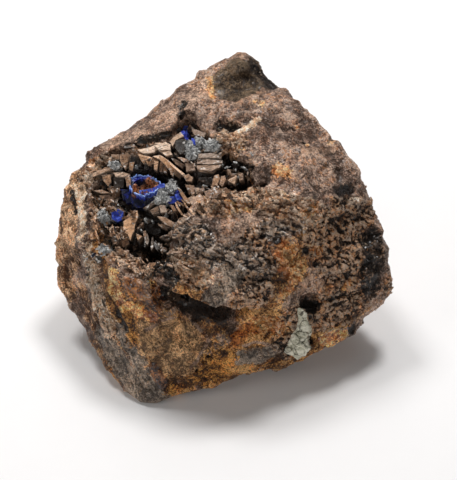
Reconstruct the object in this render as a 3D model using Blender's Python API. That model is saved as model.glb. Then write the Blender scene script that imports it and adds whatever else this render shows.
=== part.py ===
"""A hand specimen of iron-stained rock, broken to an angular block, with a crystal-lined hollow in its top.

The rock stands on its foot face. +Z is up, +X runs along the long side, and -Y is the face with the ledge.
The origin is on the surface it stands on, under the middle of the block. Everything is worked out in
millimetres and scaled to metres at the end.
"""

import random
from collections import namedtuple

import bmesh
import bpy
from mathutils import Matrix, Vector, noise
from mathutils.bvhtree import BVHTree

MM = 0.001
GAP = 0.35  # clearance between two solids that touch
FAR = 90  # further than the specimen reaches
ROCK_CELL = 0.8  # the grid on which the rock is hollowed and broken
ROCK_TRIANGLES = 4700

# ---------------------------------------------------------------- the broken block

# Its corners before the hollows are cut. The hull round them has the block's flat faces.
FOOT = [(-18.5, -31, 0), (-22, -30.5, 0), (-30, -8, 0), (-22, 18, 0), (2, 25, 0), (23, 10, 0), (16, -14, 0)]
LOWER_RIM = [
    (42, -9, 16.5), (37.5, -12, 13), (30, -19, 9.5), (22.5, -22.5, 8), (14, -24.5, 6), (2.5, -26.5, 4.5),
    (-9.5, -29.5, 2), (-26, -28, 1.5), (-30.5, -23.5, 3), (-35.5, -14, 6), (-40.5, -6, 9), (-43.5, -4, 12),
]
WAIST = [
    (41, -7.5, 22), (38, -3.5, 31), (35.5, 2.5, 38), (27, -14, 25), (17, -21, 25), (8, -24.5, 28),
    (-3, -26, 30), (-16, -23, 27), (-26, -18, 20), (-28, -15, 27.5), (-44.5, 1.5, 20), (-44, 5.5, 26),
    (-42.5, 8, 30),
]
SHOULDER = [
    (32.5, 6, 43), (25.5, -3.5, 43), (17, -8, 43), (5, -10.5, 42.5), (-6.5, -16, 41), (-26, -6.5, 36),
    (-39.5, 14, 36.5), (-36.5, 17, 40), (-32.5, 20.5, 41.5),
]
CREST = [
    (27, 12.5, 47), (20, 20, 50), (14, 27, 53), (9, 37, 54), (2, 41, 55), (-6, 37, 53),
    (-15, 30.5, 49), (-23, 25.5, 45), (-17, 12, 48), (0.5, 18, 53), (12.5, 5, 50),
]
BACK = [
    (7, 42, 41), (12, 39, 24), (-2, 39, 12), (29, 20, 32), (33, 12, 15),
    (-35, 22, 22), (-27, 28, 11), (-17, 36, 33),
]

# The hollow's rim, on the block's top and left faces, and the way the hollow goes in.
RIM = [
    (-33, 13, 39.6), (-28.6, 17, 42.7), (-25.9, 15.5, 43.9), (-14.7, 14.8, 48.8), (-12.2, 21.7, 49.8),
    (-9.2, 22, 50.8), (-7, 15.7, 50.9), (-3.3, 11, 50), (2, 7, 49.5), (5.6, 1.6, 48.1), (6.3, -3.6, 46.2),
    (2.7, -5.5, 45.5), (-1.6, -3.4, 45.7), (-6.8, -6.6, 43.9), (-10.3, -9.7, 41.9), (-13.4, -12.8, 39.2),
    (-14.8, -16.8, 34.5), (-21.1, -15.2, 31.9), (-26.6, -10.8, 31.9),
    (-31.3, -8.8, 28.6), (-32.8, -1.8, 32.3),
    (-34.9, 4, 34), (-34.3, 8.4, 36.8),
]
INWARD = Vector((0.27, 0.26, -0.93)).normalized()
RUN = Vector((0.5, 0.78, 0.37))
RUN = (RUN - INWARD * RUN.dot(INWARD)).normalized()
ACROSS = INWARD.cross(RUN)
RIM_OUTLINE = [(Vector(corner).dot(RUN), Vector(corner).dot(ACROSS)) for corner in RIM]
HOLLOW_DEPTH = 7.5
HOLLOW_WALL = 3

# A stroke moves the surface along push by depth, within width of its path. A negative depth draws it out.
# wall is the share of the width taken by the sloping side: 1 is a soft bowl, 0.4 a steep flat-floored pit.
Stroke = namedtuple("Stroke", "name path push width depth wall")
UNDER = (0.1, 0.97, 0.12)
PITS = [
    Stroke("deep pit at the front", [(-19, -8, 36), (-18, -13, 35)], INWARD, 5, 5.5, 0.7),
    Stroke("pit behind the comb", [(-24, 10, 41), (-16, 6, 43)], INWARD, 4, 3, 0.8),
    Stroke("pit on the right", [(-3, 2, 46), (2, -1, 46)], INWARD, 4, 2.5, 0.8),
]
LEDGE = [
    Stroke("lip", [(-18, -20, 32), (-8, -24.5, 31), (2, -25, 29)], UNDER, 4, -1.7, 1),
    Stroke("undercut", [(-15, -22, 27.5), (-7, -24.5, 25.5), (2, -25, 23.5)], UNDER, 3.6, 6, 0.9),
    Stroke("hollow below it", [(-10, -25, 21), (6, -24, 20)], UNDER, 8, 3, 1),
    Stroke("crack up to the hollow", [(-26, -13, 32), (-18, -19.5, 29)], (0.4, 0.85, -0.35), 1.9, 3.4, 0.9),
]
BREAKS = [
    Stroke("scoop under the peak", [(0, 27, 54), (9, 30, 54)], (0.1, 0.3, -0.95), 6, 2.6, 0.6),
    Stroke(
        "raised rim of the scoop", [(-2, 19, 52.5), (5, 20.5, 52.5), (12, 25.5, 53)], (0, 0, -1), 1.8, -1, 1
    ),
    Stroke("slot beside the hollow", [(-3, 13, 51), (2, 13.5, 51.5)], (0.1, 0.35, -0.93), 1.6, 3, 0.9),
    Stroke("ridge on the right face", [(18, 7, 49), (25, 5, 46)], (-0.2, 0.3, -0.93), 1.6, -0.8, 1),
    Stroke("dark face under the shoulder", [(27, -9, 34), (35, -4, 34)], (-0.3, 0.8, -0.3), 6, 1.6, 0.5),
    Stroke("black hole", [(18, -20, 23.8), (21, -19.6, 23.2)], (-0.3, 0.85, -0.4), 1.9, 3.8, 0.8),
    Stroke("slot at the pale crust", [(20.7, -22, 16), (20.5, -22.5, 12)], (-0.2, 0.97, 0), 1.3, 2.6, 0.8),
    Stroke("arched crack", [(-2, -20, 37), (3, -22, 33), (8, -21.5, 33)], (0, 0.8, -0.6), 1.2, 1.4, 1),
    Stroke("notch in the lower rim", [(33, -15, 10), (37, -11, 13)], (-0.4, 0.7, 0.5), 3.5, 2.4, 1),
    Stroke("dip in the left flank", [(-28, 21, 43), (-20, 26, 46)], (0.5, -0.5, -0.7), 5, 1, 1),
    Stroke("hollow of the left face", [(-39, -4, 18), (-34, -14, 12)], (0.75, 0.6, -0.2), 7, 1.2, 1),
    Stroke("hollow of the back", [(-8, 38, 28), (8, 40, 34)], (0, -1, 0), 10, 3, 1),
    Stroke("hollow of the right end", [(36, 6, 28), (36, 8, 16)], (-0.9, -0.4, 0), 8, 2.2, 1),
]


# ---------------------------------------------------------------- the crystals

# The crust's edge on the hollow's floor.
CRUST_EDGE = [
    (-32, 12.5, 39), (-28, 16, 42), (-15, 13.5, 48), (-11.5, 19, 49.5), (-8.5, 19, 50), (-7, 14.5, 50.4),
    (-3.5, 10, 49.5), (1.5, 6, 49), (4.6, 1.2, 47.6), (5, -2.5, 46), (2.2, -4.2, 45.4), (-1.8, -2.2, 45.5),
    (-7, -5, 44), (-12, -8, 42), (-16, -9, 39.5), (-22, -8.5, 35), (-27, -8.5, 31.5), (-31, -6, 30),
    (-32, -1, 32.5), (-33.8, 4.5, 34.5), (-33.2, 8.8, 37),
]
CRUST_OUTLINE = [(Vector(corner).dot(RUN), Vector(corner).dot(ACROSS)) for corner in CRUST_EDGE]
CRUST_SKIN = 0.7  # its thickness between the blades
CRUST_CELL = 1.9

# Rows of flat blades. Their tips run from first to last. They stand on the hollow's floor, pointing along
# grow, with their broad side towards face. A blade is width wide and thick through.
Row = namedtuple("Row", "name first last count grow face width thick")
STANDING = [
    Row(
        "ridge of the comb",
        (-22.6, 12.6, 43), (-13.2, 7.4, 44), 3, (0.1, 0.3, 0.95), (0.45, -0.85, 0.3), 5.4, 1.3
    ),
    Row(
        "pale plates behind it",
        (-25, 13.6, 42.6), (-15, 11.6, 45.6), 4, (-0.1, 0.1, 1), (0.2, -0.9, 0.4), 3, 1
    ),
    Row("far corner", (-12, 14, 47), (-9, 12, 47.8), 2, (-0.2, 0.3, 0.9), (0.8, -0.6, 0.2), 2.2, 0.9),
    Row("left rhombs", (-27.3, 12, 41), (-25.3, 10.6, 40.6), 2, (0, 0.4, 0.9), (-0.2, -0.9, 0.4), 2.2, 1),
    Row(
        "left cluster",
        (-31.5, 9.6, 37.6), (-28, 6.6, 37.8), 3, (-0.2, 0.3, 0.9), (0.3, -0.9, 0.4), 2.6, 1.1
    ),
    Row(
        "tall blade",
        (-24.6, -1.5, 36.8), (-24.6, -1.5, 36.8), 1, (-0.3, 0.35, 0.9), (-0.35, -0.85, 0.5), 3.1, 1
    ),
    Row("beside it", (-28, -3, 34.4), (-22, -6.5, 35), 3, (0.1, 0.3, 0.9), (0.5, -0.8, 0.3), 2.1, 0.8),
    Row(
        "diagonal plates", (-14, 0.6, 42.6), (-9.4, -4, 42.6), 4, (0.3, 0.1, 0.9), (0.75, -0.6, 0.2), 3, 0.7
    ),
    Row(
        "triangular pair",
        (-4.6, 2.2, 45.4), (-1.4, -0.8, 45), 3, (0.2, 0.3, 0.9), (-0.5, -0.8, 0.4), 2.8, 0.9
    ),
    Row("right druse", (-1.5, 6, 47.4), (3, 1, 46.8), 3, (0.2, 0.2, 0.9), (0.5, -0.8, 0.4), 2, 1.3),
    Row(
        "top of the stack", (-5, 8.6, 47.2), (-5, 8.6, 47.2), 1, (0, 0.5, 0.85), (0.1, -0.8, 0.6), 5.6, 1.1
    ),
    Row(
        "middle of the stack",
        (-5.2, 7, 46.2), (-5.2, 7, 46.2), 1, (0, 0.5, 0.85), (0.05, -0.8, 0.6), 6.2, 1.1
    ),
    Row(
        "front of the stack",
        (-4.8, 5.4, 45.2), (-4.8, 5.4, 45.2), 1, (0, 0.5, 0.85), (0.1, -0.8, 0.6), 5.4, 1.1
    ),
    Row("upper druse", (-11.5, 11.5, 46.6), (-8.4, 9.4, 46.6), 3, (0.1, 0.1, 1), (0.6, -0.7, 0.3), 2, 1.6),
    Row("grey crystals", (-30.6, 2, 34.8), (-27.4, 1.6, 35), 2, (-0.1, 0.1, 1), (0.4, -0.8, 0.4), 2.8, 2.2),
    Row(
        "floor by the pit",
        (-17, -2.5, 40), (-12.5, -6, 41), 3, (0.1, 0.3, 0.9), (-0.6, -0.7, 0.4), 2.2, 0.8
    ),
]
# The comb's teeth hang from its ridge over the hollow.
TEETH = Row(
    "teeth", (-23.8, 12.2, 43), (-12.4, 5.6, 43.8), 7, (0.1, 0.75, 0.66), (0.25, -0.72, 0.62), 1.5, 0.9
)
TOOTH_LENGTH = 2.9
# Flakes on the rim are part of the rock. They stand out of its surface along grow by up to reach.
Flakes = namedtuple("Flakes", "name first last count grow face width thick reach")
RIM_FLAKES = [
    Flakes(
        "lower right rim", (-9, -8, 43), (4, -7.5, 45), 6, (0.2, -0.2, 1), (0.3, -0.8, 0.5), 2.6, 0.9, 1.8
    ),
    Flakes(
        "in front of it",
        (-7, -12, 42), (6, -10, 43.5), 4, (-0.3, -0.3, 0.9), (-0.3, -0.7, 0.6), 2.4, 0.8, 1.2
    ),
    Flakes(
        "lower left rim",
        (-34.5, 1, 33.5), (-28.5, -11.5, 30), 6, (-0.3, -0.2, 0.9), (0.4, -0.8, 0.5), 2.4, 1, 1.8
    ),
    Flakes("right rim", (4, 8.5, 50), (8, 0, 47.8), 3, (0.2, -0.2, 1), (-0.5, -0.6, 0.6), 2.4, 0.9, 1.3),
]

# Azurite: a six-sided box with a sunken core, and two smaller tufts. The crust is kept clear of them.
BOX_RIM = [
    (-24.6, 7.6, 39.2), (-22.8, 8.6, 39.8), (-20.4, 7.8, 40.2), (-18.4, 5.8, 40.7), (-15.7, 2.6, 41.2),
    (-18.2, 1.4, 40), (-20.4, 0.8, 39.4), (-22.6, 1.9, 39), (-24.4, 4.6, 38.7),
]
BOX_FOOT = [
    (-23.8, 4.5, 33), (-22, 7.2, 33), (-17.4, 4.4, 33), (-16.6, 2, 34),
    (-17.4, -0.6, 36.5), (-20.6, -0.4, 34.5),
    (-24, 1.8, 33),
]
BOX_CORE = 0.64  # its width over the rim's
BOX_CORE_DEPTH = 1.6
TUFTS = {
    "azurite_upper": [
        (-12.2, 16, 48), (-10.8, 15.8, 48.6), (-9.8, 14, 47), (-11.2, 13.4, 46),
        (-12, 14, 43), (-10.6, 14.6, 43),
    ],
    "azurite_lower": [
        (-12.9, -1, 42.6), (-11.4, -1.6, 43), (-10.6, -3.6, 41.6), (-12.2, -4.4, 40.4),
        (-13.4, -3, 35), (-11.4, -2.6, 35),
    ],
}

# The grey-green crust lies against the front face. Its outline is in x and z.
PALE_OUTLINE = [
    (16.8, 23.1), (17.8, 22.8), (18.7, 21), (18.9, 19), (20, 17), (20.2, 14.1), (19.5, 13), (20.5, 10.8),
    (19.2, 9.9), (18.2, 8.6), (17, 7.6), (16.2, 8.4), (13.8, 9.7), (14.7, 13.5), (15.6, 16.5), (16.3, 19.3),
]
PALE_THICKNESS = 1.1
PALE_CELL = 0.9


def smoothstep(low, high, x):
    t = min(max((x - low) / (high - low), 0), 1)
    return t * t * (3 - 2 * t)


def along_path(point, path, push):
    """How far a point lies from a path, seen along push, and how far along push it lies from it."""
    best = (1e9, 0)
    for a, b in zip(path, path[1:]):
        side = b - a
        t = min(max((point - a).dot(side) / side.length_squared, 0), 1)
        offset = point - a - side * t
        reach = offset.dot(push)
        best = min(best, ((offset - push * reach).length, reach))
    return best


def pressed(point, stroke, ragged):
    """What a stroke adds to a point, in millimetres along its push."""
    if (point - stroke.path[0]).length > (stroke.path[-1] - stroke.path[0]).length + stroke.width * 1.4 + 9:
        return Vector()
    away, reach = along_path(point, stroke.path, stroke.push)
    if abs(reach) > 9:
        return Vector()
    return stroke.push * (stroke.depth * smoothstep(1, 1 - stroke.wall, away / stroke.width + ragged))


def inside(outline, x, y):
    """How far a point of a plane lies inside an outline, and negative outside it."""
    nearest = 1e9
    within = False
    for (ax, ay), (bx, by) in zip(outline, outline[1:] + outline[:1]):
        t = ((x - ax) * (bx - ax) + (y - ay) * (by - ay)) / ((bx - ax) ** 2 + (by - ay) ** 2)
        t = min(max(t, 0), 1)
        nearest = min(nearest, ((x - ax - t * (bx - ax)) ** 2 + (y - ay - t * (by - ay)) ** 2) ** 0.5)
        if (ay > y) != (by > y) and x < ax + (y - ay) * (bx - ax) / (by - ay):
            within = not within
    return nearest if within else -nearest


def hollowed(point):
    """What the hollow adds to a point of the block's top: in to its uneven floor, behind a ragged rim."""
    if point.z < 22:
        return Vector()
    ragged = 1.1 * noise.noise(point / 3) + 0.7 * noise.noise(point / 1.4)
    floor = HOLLOW_DEPTH + 1.8 * noise.noise(point / 6)
    within = inside(RIM_OUTLINE, point.dot(RUN), point.dot(ACROSS))
    return INWARD * (floor * smoothstep(0, HOLLOW_WALL, within + ragged))


def relief(point):
    """The broken surface's own height: slow waves, flat chips between sharp edges, and small lumps."""
    waves = 0.9 * noise.fractal(point / 12, 1.0, 2.0, 2)
    first, second = noise.voronoi(point / 6)[0][:2]
    chips = 0.8 * min((second - first) / 0.35, 1) - 0.55
    lumps = 0.45 * noise.noise(point / 3) + 0.25 * noise.noise(point / 1.5)
    return waves + chips + lumps


def object_of(name, mesh):
    """A new object from a bmesh, which is freed."""
    data = bpy.data.meshes.new(name)
    mesh.to_mesh(data)
    mesh.free()
    obj = bpy.data.objects.new(name, data)
    bpy.context.scene.collection.objects.link(obj)
    return obj


def modified(obj, kind, **settings):
    """Applies one modifier to the object's mesh."""
    modifier = obj.modifiers.new(kind, kind)
    for name, value in settings.items():
        setattr(modifier, name, value)
    bpy.context.view_layer.update()
    seen = obj.evaluated_get(bpy.context.evaluated_depsgraph_get())
    data = bpy.data.meshes.new_from_object(seen)
    obj.modifiers.clear()
    obj.data = data


def hull_of(corners):
    """A bmesh of the hull round some corners."""
    mesh = bmesh.new()
    for corner in corners:
        mesh.verts.new(corner)
    hull = bmesh.ops.convex_hull(mesh, input=mesh.verts)
    spare = hull["geom_interior"] + hull["geom_unused"]
    spare = {item for item in spare if isinstance(item, bmesh.types.BMVert)}
    bmesh.ops.delete(mesh, geom=list(spare), context="VERTS")
    return mesh


def broken_block():
    """The block with its hollows and its broken surface. Its foot stays flat."""
    strokes = []
    for stroke in PITS + LEDGE + BREAKS:
        path = [Vector(step) for step in stroke.path]
        strokes.append(stroke._replace(path=path, push=Vector(stroke.push).normalized()))
    obj = object_of("rock", hull_of(FOOT + LOWER_RIM + WAIST + SHOULDER + CREST + BACK))
    modified(obj, "REMESH", mode="VOXEL", voxel_size=ROCK_CELL)
    for vertex in obj.data.vertices:
        point = vertex.co.copy()
        moved = point + hollowed(point)
        ragged = 0.25 * noise.noise(point / 3.1) + 0.14 * noise.noise(point / 1.3)
        for stroke in strokes:
            moved += pressed(point, stroke, ragged)
        vertex.co = moved
    modified(obj, "REMESH", mode="VOXEL", voxel_size=ROCK_CELL)
    normals = [vertex.normal.copy() for vertex in obj.data.vertices]
    for vertex, normal in zip(obj.data.vertices, normals):
        point = vertex.co.copy()
        moved = point + normal * relief(point) * smoothstep(0, 4, point.z)
        moved.z = max(moved.z, 0)
        vertex.co = moved
    modified(obj, "DECIMATE", ratio=ROCK_TRIANGLES / (2 * len(obj.data.polygons)))
    for vertex in obj.data.vertices:
        if vertex.co.z < 0.05:
            vertex.co.z = 0
    return obj


def tree_of(obj):
    """An object's faces, to cast rays at or to test other pieces against."""
    points = [vertex.co for vertex in obj.data.vertices]
    return BVHTree.FromPolygons(points, [polygon.vertices[:] for polygon in obj.data.polygons])


def draped(name, outline, inset, right, up, onto, cell, low, high):
    """A sheet over part of the rock, cut to an outline in the plane of right and up.

    Its two faces lie low and high above the highest rock near each of their points, seen along onto.
    """
    columns = [x for x, _ in outline]
    rows = [y for _, y in outline]
    heights = {}
    for i in range(-2, int((max(columns) - min(columns)) / cell) + 3):
        for j in range(-2, int((max(rows) - min(rows)) / cell) + 3):
            x = min(columns) + cell * i
            y = min(rows) + cell * j
            if inside(outline, x, y) < inset:
                continue
            hits = []
            for dx in (-0.7, -0.35, 0, 0.35, 0.7):
                for dy in (-0.7, -0.35, 0, 0.35, 0.7):
                    start = right * (x + dx * cell) + up * (y + dy * cell) - onto * FAR
                    hits.append(rock_tree.ray_cast(start, onto)[3])
            if None not in hits:
                heights[i, j] = (right * x + up * y - onto * FAR, min(hits))
    mesh = bmesh.new()
    corners = {}
    for key, (start, reach) in heights.items():
        corners[key] = [mesh.verts.new(start + onto * (reach - lift)) for lift in (low, high)]
    beyond = ((1, 0), (0, 1), (1, 1))
    cells = [(i, j) for i, j in corners if all((i + di, j + dj) in corners for di, dj in beyond)]
    cells = largest_patch(cells)
    flip = right.cross(up).dot(onto) > 0
    for i, j in cells:
        ring = [corners[i, j], corners[i + 1, j], corners[i + 1, j + 1], corners[i, j + 1]]
        if flip:
            ring.reverse()
        mesh.faces.new([corner[1] for corner in ring])
        mesh.faces.new([corner[0] for corner in reversed(ring)])
    edges = [edge for edge in mesh.edges if edge.is_boundary]
    tops = {corner[1]: corner[0] for corner in corners.values()}
    for edge in edges:
        if edge.verts[0] in tops:
            a, b = [vertex for vertex in edge.link_loops[0].face.verts if vertex in edge.verts]
            if edge.link_loops[0].vert != a:
                a, b = b, a
            mesh.faces.new([b, a, tops[a], tops[b]])
    loose = [vertex for vertex in mesh.verts if not vertex.link_faces]
    bmesh.ops.delete(mesh, geom=loose, context="VERTS")
    bmesh.ops.triangulate(mesh, faces=mesh.faces)
    return object_of(name, mesh)


def largest_patch(cells):
    """The cells joined side to side in the largest patch, less any that touch it by a corner only."""
    left = set(cells)
    patches = []
    while left:
        patch = set()
        queue = [left.pop()]
        while queue:
            i, j = queue.pop()
            patch.add((i, j))
            for cell in ((i + 1, j), (i - 1, j), (i, j + 1), (i, j - 1)):
                if cell in left:
                    left.remove(cell)
                    queue.append(cell)
        patches.append(patch)
    patch = max(patches, key=len)
    for i, j in sorted(patch):
        for di, dj in ((1, 1), (1, -1)):
            if (i + di, j + dj) in patch and (i + di, j) not in patch and (i, j + dj) not in patch:
                patch.discard((i, j))
    return sorted(patch)


def blade(tip, root, face, width, thick, skew):
    """The eight corners of a flat blade with a slanting end."""
    grow = (tip - root).normalized()
    face = (face - grow * face.dot(grow)).normalized()
    side = grow.cross(face)
    length = (tip - root).length
    outline = [(-0.5, 0), (0.5, 0), (0.5, 1 - 0.35 * skew), (-0.5, 0.65 + 0.35 * skew)]
    return [
        root + side * (x * width) + grow * (y * length) + face * (half * thick)
        for half in (-0.5, 0.5)
        for x, y in outline
    ]


def tree_of_hull(corners):
    """The hull round some corners, as something to test others against."""
    piece = hull_of(corners)
    points = [vertex.co for vertex in piece.verts]
    tree = BVHTree.FromPolygons(points, [[vertex.index for vertex in face.verts] for face in piece.faces])
    piece.free()
    return tree


def meets(corners, trees):
    """Whether the surface of the hull round some corners crosses anything in the trees."""
    here = tree_of_hull(corners)
    return any(here.overlap(tree) for tree in trees)


def swollen(corners):
    """The corners moved apart by the clearance."""
    middle = sum(corners, Vector()) / len(corners)
    return [corner + (corner - middle).normalized() * GAP * 1.5 for corner in corners]


def spread(first, last, count):
    """Points evenly along a line."""
    for i in range(count):
        yield Vector(first).lerp(Vector(last), i / max(count - 1, 1))


def prism(outline, right, up, along):
    """An outline drawn out both ways."""
    mesh = bmesh.new()
    ends = [[mesh.verts.new(right * x + up * y + along * end) for x, y in outline] for end in (-FAR, FAR)]
    mesh.faces.new(ends[0])
    mesh.faces.new(reversed(ends[1]))
    count = len(outline)
    for i in range(count):
        j = (i + 1) % count
        mesh.faces.new([ends[0][j], ends[0][i], ends[1][i], ends[1][j]])
    bmesh.ops.recalc_face_normals(mesh, faces=mesh.faces)
    bmesh.ops.triangulate(mesh, faces=mesh.faces)
    return object_of("prism", mesh)


def boolean(obj, other, operation, keep=False):
    """Joins another object to this one or cuts it away, and removes the other unless it is used again."""
    modified(obj, "BOOLEAN", operation=operation, object=other, solver="EXACT")
    if not keep:
        bpy.data.objects.remove(other)


def wobble(amount):
    """A random step of up to amount along each axis."""
    return Vector([random.uniform(-amount, amount) for _ in range(3)])


def crust_blades(obstacles, crust_tree):
    """The corners of each blade that stands on the crust in the hollow, then of the comb's teeth."""
    middle = Vector((-16, 3, 42))
    joined = [crust_tree]
    for row in STANDING:
        loose = 0.05 if row.count == 1 else 0.2
        for place in spread(row.first, row.last, row.count):
            for attempt in range(14):
                tip = place + wobble(loose * 2) + (middle - place).normalized() * (0.22 * attempt)
                grow = (Vector(row.grow).normalized() + wobble(loose)).normalized()
                face = Vector(row.face) + wobble(loose)
                width = row.width * random.uniform(1 - loose, 1 + loose)
                skew = random.random()
                hit, _, _, drop = obstacles[0].ray_cast(tip, -grow)
                if hit is None or not 2 < drop < 16:
                    continue
                root = hit + grow * (GAP + 0.3)
                corners = blade(tip, root, face, width, row.thick, skew)
                above = swollen(blade(tip, root + grow * 1.2, face, width, row.thick, skew))
                if meets(corners, [crust_tree]) and not meets(above, obstacles):
                    joined.append(tree_of_hull(corners))
                    yield corners
                    break
    for place in spread(TEETH.first, TEETH.last, TEETH.count):
        grow = Vector(TEETH.grow).normalized()
        face = Vector(TEETH.face) + wobble(0.08)
        end = place - grow * TOOTH_LENGTH * random.uniform(0.8, 1.1)
        corners = blade(end, place + grow * 0.8, face, TEETH.width, TEETH.thick, random.random())
        if meets(corners, joined) and not meets(swollen(corners), obstacles):
            yield corners


def rim_flakes():
    """The corners of each flake that stands out of the rock round the hollow."""
    for row in RIM_FLAKES:
        for tip in spread(row.first, row.last, row.count):
            grow = (Vector(row.grow).normalized() + wobble(0.2)).normalized()
            hit = rock_tree.ray_cast(tip + grow * 8 + wobble(0.5), -grow)
            if hit[0] is None or hit[3] > 14:
                continue
            top = hit[0] + grow * row.reach
            width = row.width * random.uniform(0.8, 1.2)
            face = Vector(row.face) + wobble(0.25)
            yield blade(top, hit[0] - grow * 2, face, width, row.thick, random.random())


def one_body(obj):
    """Drops the scraps that a Boolean leaves, and keeps the largest shell."""
    mesh = bmesh.new()
    mesh.from_mesh(obj.data)
    left = set(mesh.verts)
    shells = []
    while left:
        queue = [left.pop()]
        shell = []
        while queue:
            vertex = queue.pop()
            shell.append(vertex)
            near = {edge.other_vert(vertex) for edge in vertex.link_edges} & left
            left -= near
            queue += near
        shells.append(shell)
    largest = max(shells, key=len)
    scraps = [vertex for shell in shells if shell is not largest for vertex in shell]
    bmesh.ops.delete(mesh, geom=scraps, context="VERTS")
    mesh.to_mesh(obj.data)
    mesh.free()


def paint(obj, colour, roughness, metallic=0):
    """Gives the object one plain material, with the object's name."""
    material = bpy.data.materials.new(obj.name)
    material.use_nodes = True
    surface = material.node_tree.nodes["Principled BSDF"]
    surface.inputs["Base Color"].default_value = (*colour, 1)
    surface.inputs["Roughness"].default_value = roughness
    surface.inputs["Metallic"].default_value = metallic
    obj.data.materials.clear()
    obj.data.materials.append(material)


for old in list(bpy.data.objects):
    bpy.data.objects.remove(old)
random.seed(7)
rock = broken_block()
rock_tree = tree_of(rock)
for corners in rim_flakes():
    boolean(rock, object_of("flake", hull_of(corners)), "UNION")
rock_tree = tree_of(rock)

above_crust = CRUST_SKIN + 2 * GAP
over_crust = draped("over_crust", CRUST_OUTLINE, 0.5, RUN, ACROSS, INWARD, CRUST_CELL, -3, above_crust)
over_rock = draped("over_rock", RIM_OUTLINE, -2, RUN, ACROSS, INWARD, CRUST_CELL, -4, GAP)
under_blades = draped("under_blades", RIM_OUTLINE, -2, RUN, ACROSS, INWARD, CRUST_CELL, -4, GAP + 0.25)
box = object_of("azurite_main", hull_of(BOX_RIM + BOX_FOOT))
middle = sum((Vector(corner) for corner in BOX_RIM), Vector()) / len(BOX_RIM)
core = [middle + (Vector(corner) - middle) * BOX_CORE - Vector((0, 0, BOX_CORE_DEPTH)) for corner in BOX_RIM]
core += [corner + Vector((0, 0, 6)) for corner in core]
boolean(box, object_of("core", hull_of(core)), "DIFFERENCE")
azurites = [box] + [object_of(name, hull_of(corners)) for name, corners in TUFTS.items()]
for azurite in azurites:
    boolean(azurite, over_crust, "DIFFERENCE", keep=True)
    boolean(azurite, over_rock, "DIFFERENCE", keep=True)

crust = draped("calcite_crust", CRUST_OUTLINE, 0.5, RUN, ACROSS, INWARD, CRUST_CELL, GAP, GAP + CRUST_SKIN)
obstacles = [rock_tree] + [tree_of(azurite) for azurite in azurites]
for corners in crust_blades(obstacles, tree_of(crust)):
    piece = object_of("blade", hull_of(corners))
    boolean(piece, under_blades, "DIFFERENCE", keep=True)
    boolean(crust, piece, "UNION")
for cutter in (over_crust, over_rock, under_blades):
    bpy.data.objects.remove(cutter)
for obj in (rock, crust):
    one_body(obj)
right, up, onto = Vector((1, 0, 0)), Vector((0, 0, 1)), Vector((0, 1, 0))
pale = draped("pale_crust", PALE_OUTLINE, -1.5, right, up, onto, PALE_CELL, GAP, GAP + PALE_THICKNESS)
boolean(pale, prism(PALE_OUTLINE, right, up, onto), "INTERSECT")

paint(rock, (0.16, 0.105, 0.07), 0.8)
paint(crust, (0.30, 0.18, 0.10), 0.6)
paint(pale, (0.36, 0.37, 0.31), 0.7)
for azurite in azurites:
    paint(azurite, (0.02, 0.05, 0.4), 0.35)
for obj in bpy.data.objects:
    obj.data.transform(Matrix.Scale(MM, 4))
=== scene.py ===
"""A hand specimen of iron-stained rock, broken open on a hollow of bladed brown calcite with azurite."""

import math
import random
from collections import namedtuple

import bmesh
import bpy
import numpy as np
from mathutils import Matrix, Vector, noise
from mathutils.bvhtree import BVHTree


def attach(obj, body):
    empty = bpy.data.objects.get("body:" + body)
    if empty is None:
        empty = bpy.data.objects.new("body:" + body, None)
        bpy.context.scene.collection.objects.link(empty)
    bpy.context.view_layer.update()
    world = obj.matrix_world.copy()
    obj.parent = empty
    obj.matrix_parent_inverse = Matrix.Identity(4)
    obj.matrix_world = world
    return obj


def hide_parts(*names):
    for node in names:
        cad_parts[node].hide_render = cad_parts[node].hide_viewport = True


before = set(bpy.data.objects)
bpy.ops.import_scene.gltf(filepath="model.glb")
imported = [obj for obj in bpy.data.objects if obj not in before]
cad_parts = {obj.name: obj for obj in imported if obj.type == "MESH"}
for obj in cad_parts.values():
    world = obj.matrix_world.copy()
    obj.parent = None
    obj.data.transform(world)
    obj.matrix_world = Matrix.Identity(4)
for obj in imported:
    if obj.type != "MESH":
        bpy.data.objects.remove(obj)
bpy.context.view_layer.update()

MM = 0.001

# ---------------------------------------------------------------------------------------------
# The table and the light. A white table top with no edge in sight, a wide soft lamp above and
# behind the rock, and a weak fill from the front.


class Socket:
    """One output of a node, which takes part in sums as a number does."""

    def __init__(self, made, socket):
        self.made = made
        self.socket = socket

    def math(self, operation, *others, clamp=False):
        values = dict(enumerate((self, *others)))
        return self.made.node("ShaderNodeMath", {"operation": operation, "use_clamp": clamp}, values)

    def __add__(self, other):
        return self.math("ADD", other)

    def __radd__(self, other):
        return self.math("ADD", other)

    def __sub__(self, other):
        return self.math("SUBTRACT", other)

    def __rsub__(self, other):
        return self.made.node("ShaderNodeMath", {"operation": "SUBTRACT"}, {0: other, 1: self})

    def __mul__(self, other):
        return self.math("MULTIPLY", other)

    def __rmul__(self, other):
        return self.math("MULTIPLY", other)

    def __truediv__(self, other):
        return self.math("DIVIDE", other)

    def over(self, low, high):
        """0 where this is below low, 1 where it is above high, with a soft step between."""
        settings = {"interpolation_type": "SMOOTHSTEP"}
        return self.made.node("ShaderNodeMapRange", settings, {0: self, 1: low, 2: high})

    def clamped(self):
        return self.math("ADD", 0.0, clamp=True)

    def at_least(self, other):
        return self.math("MAXIMUM", other)

    def at_most(self, other):
        return self.math("MINIMUM", other)


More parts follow.
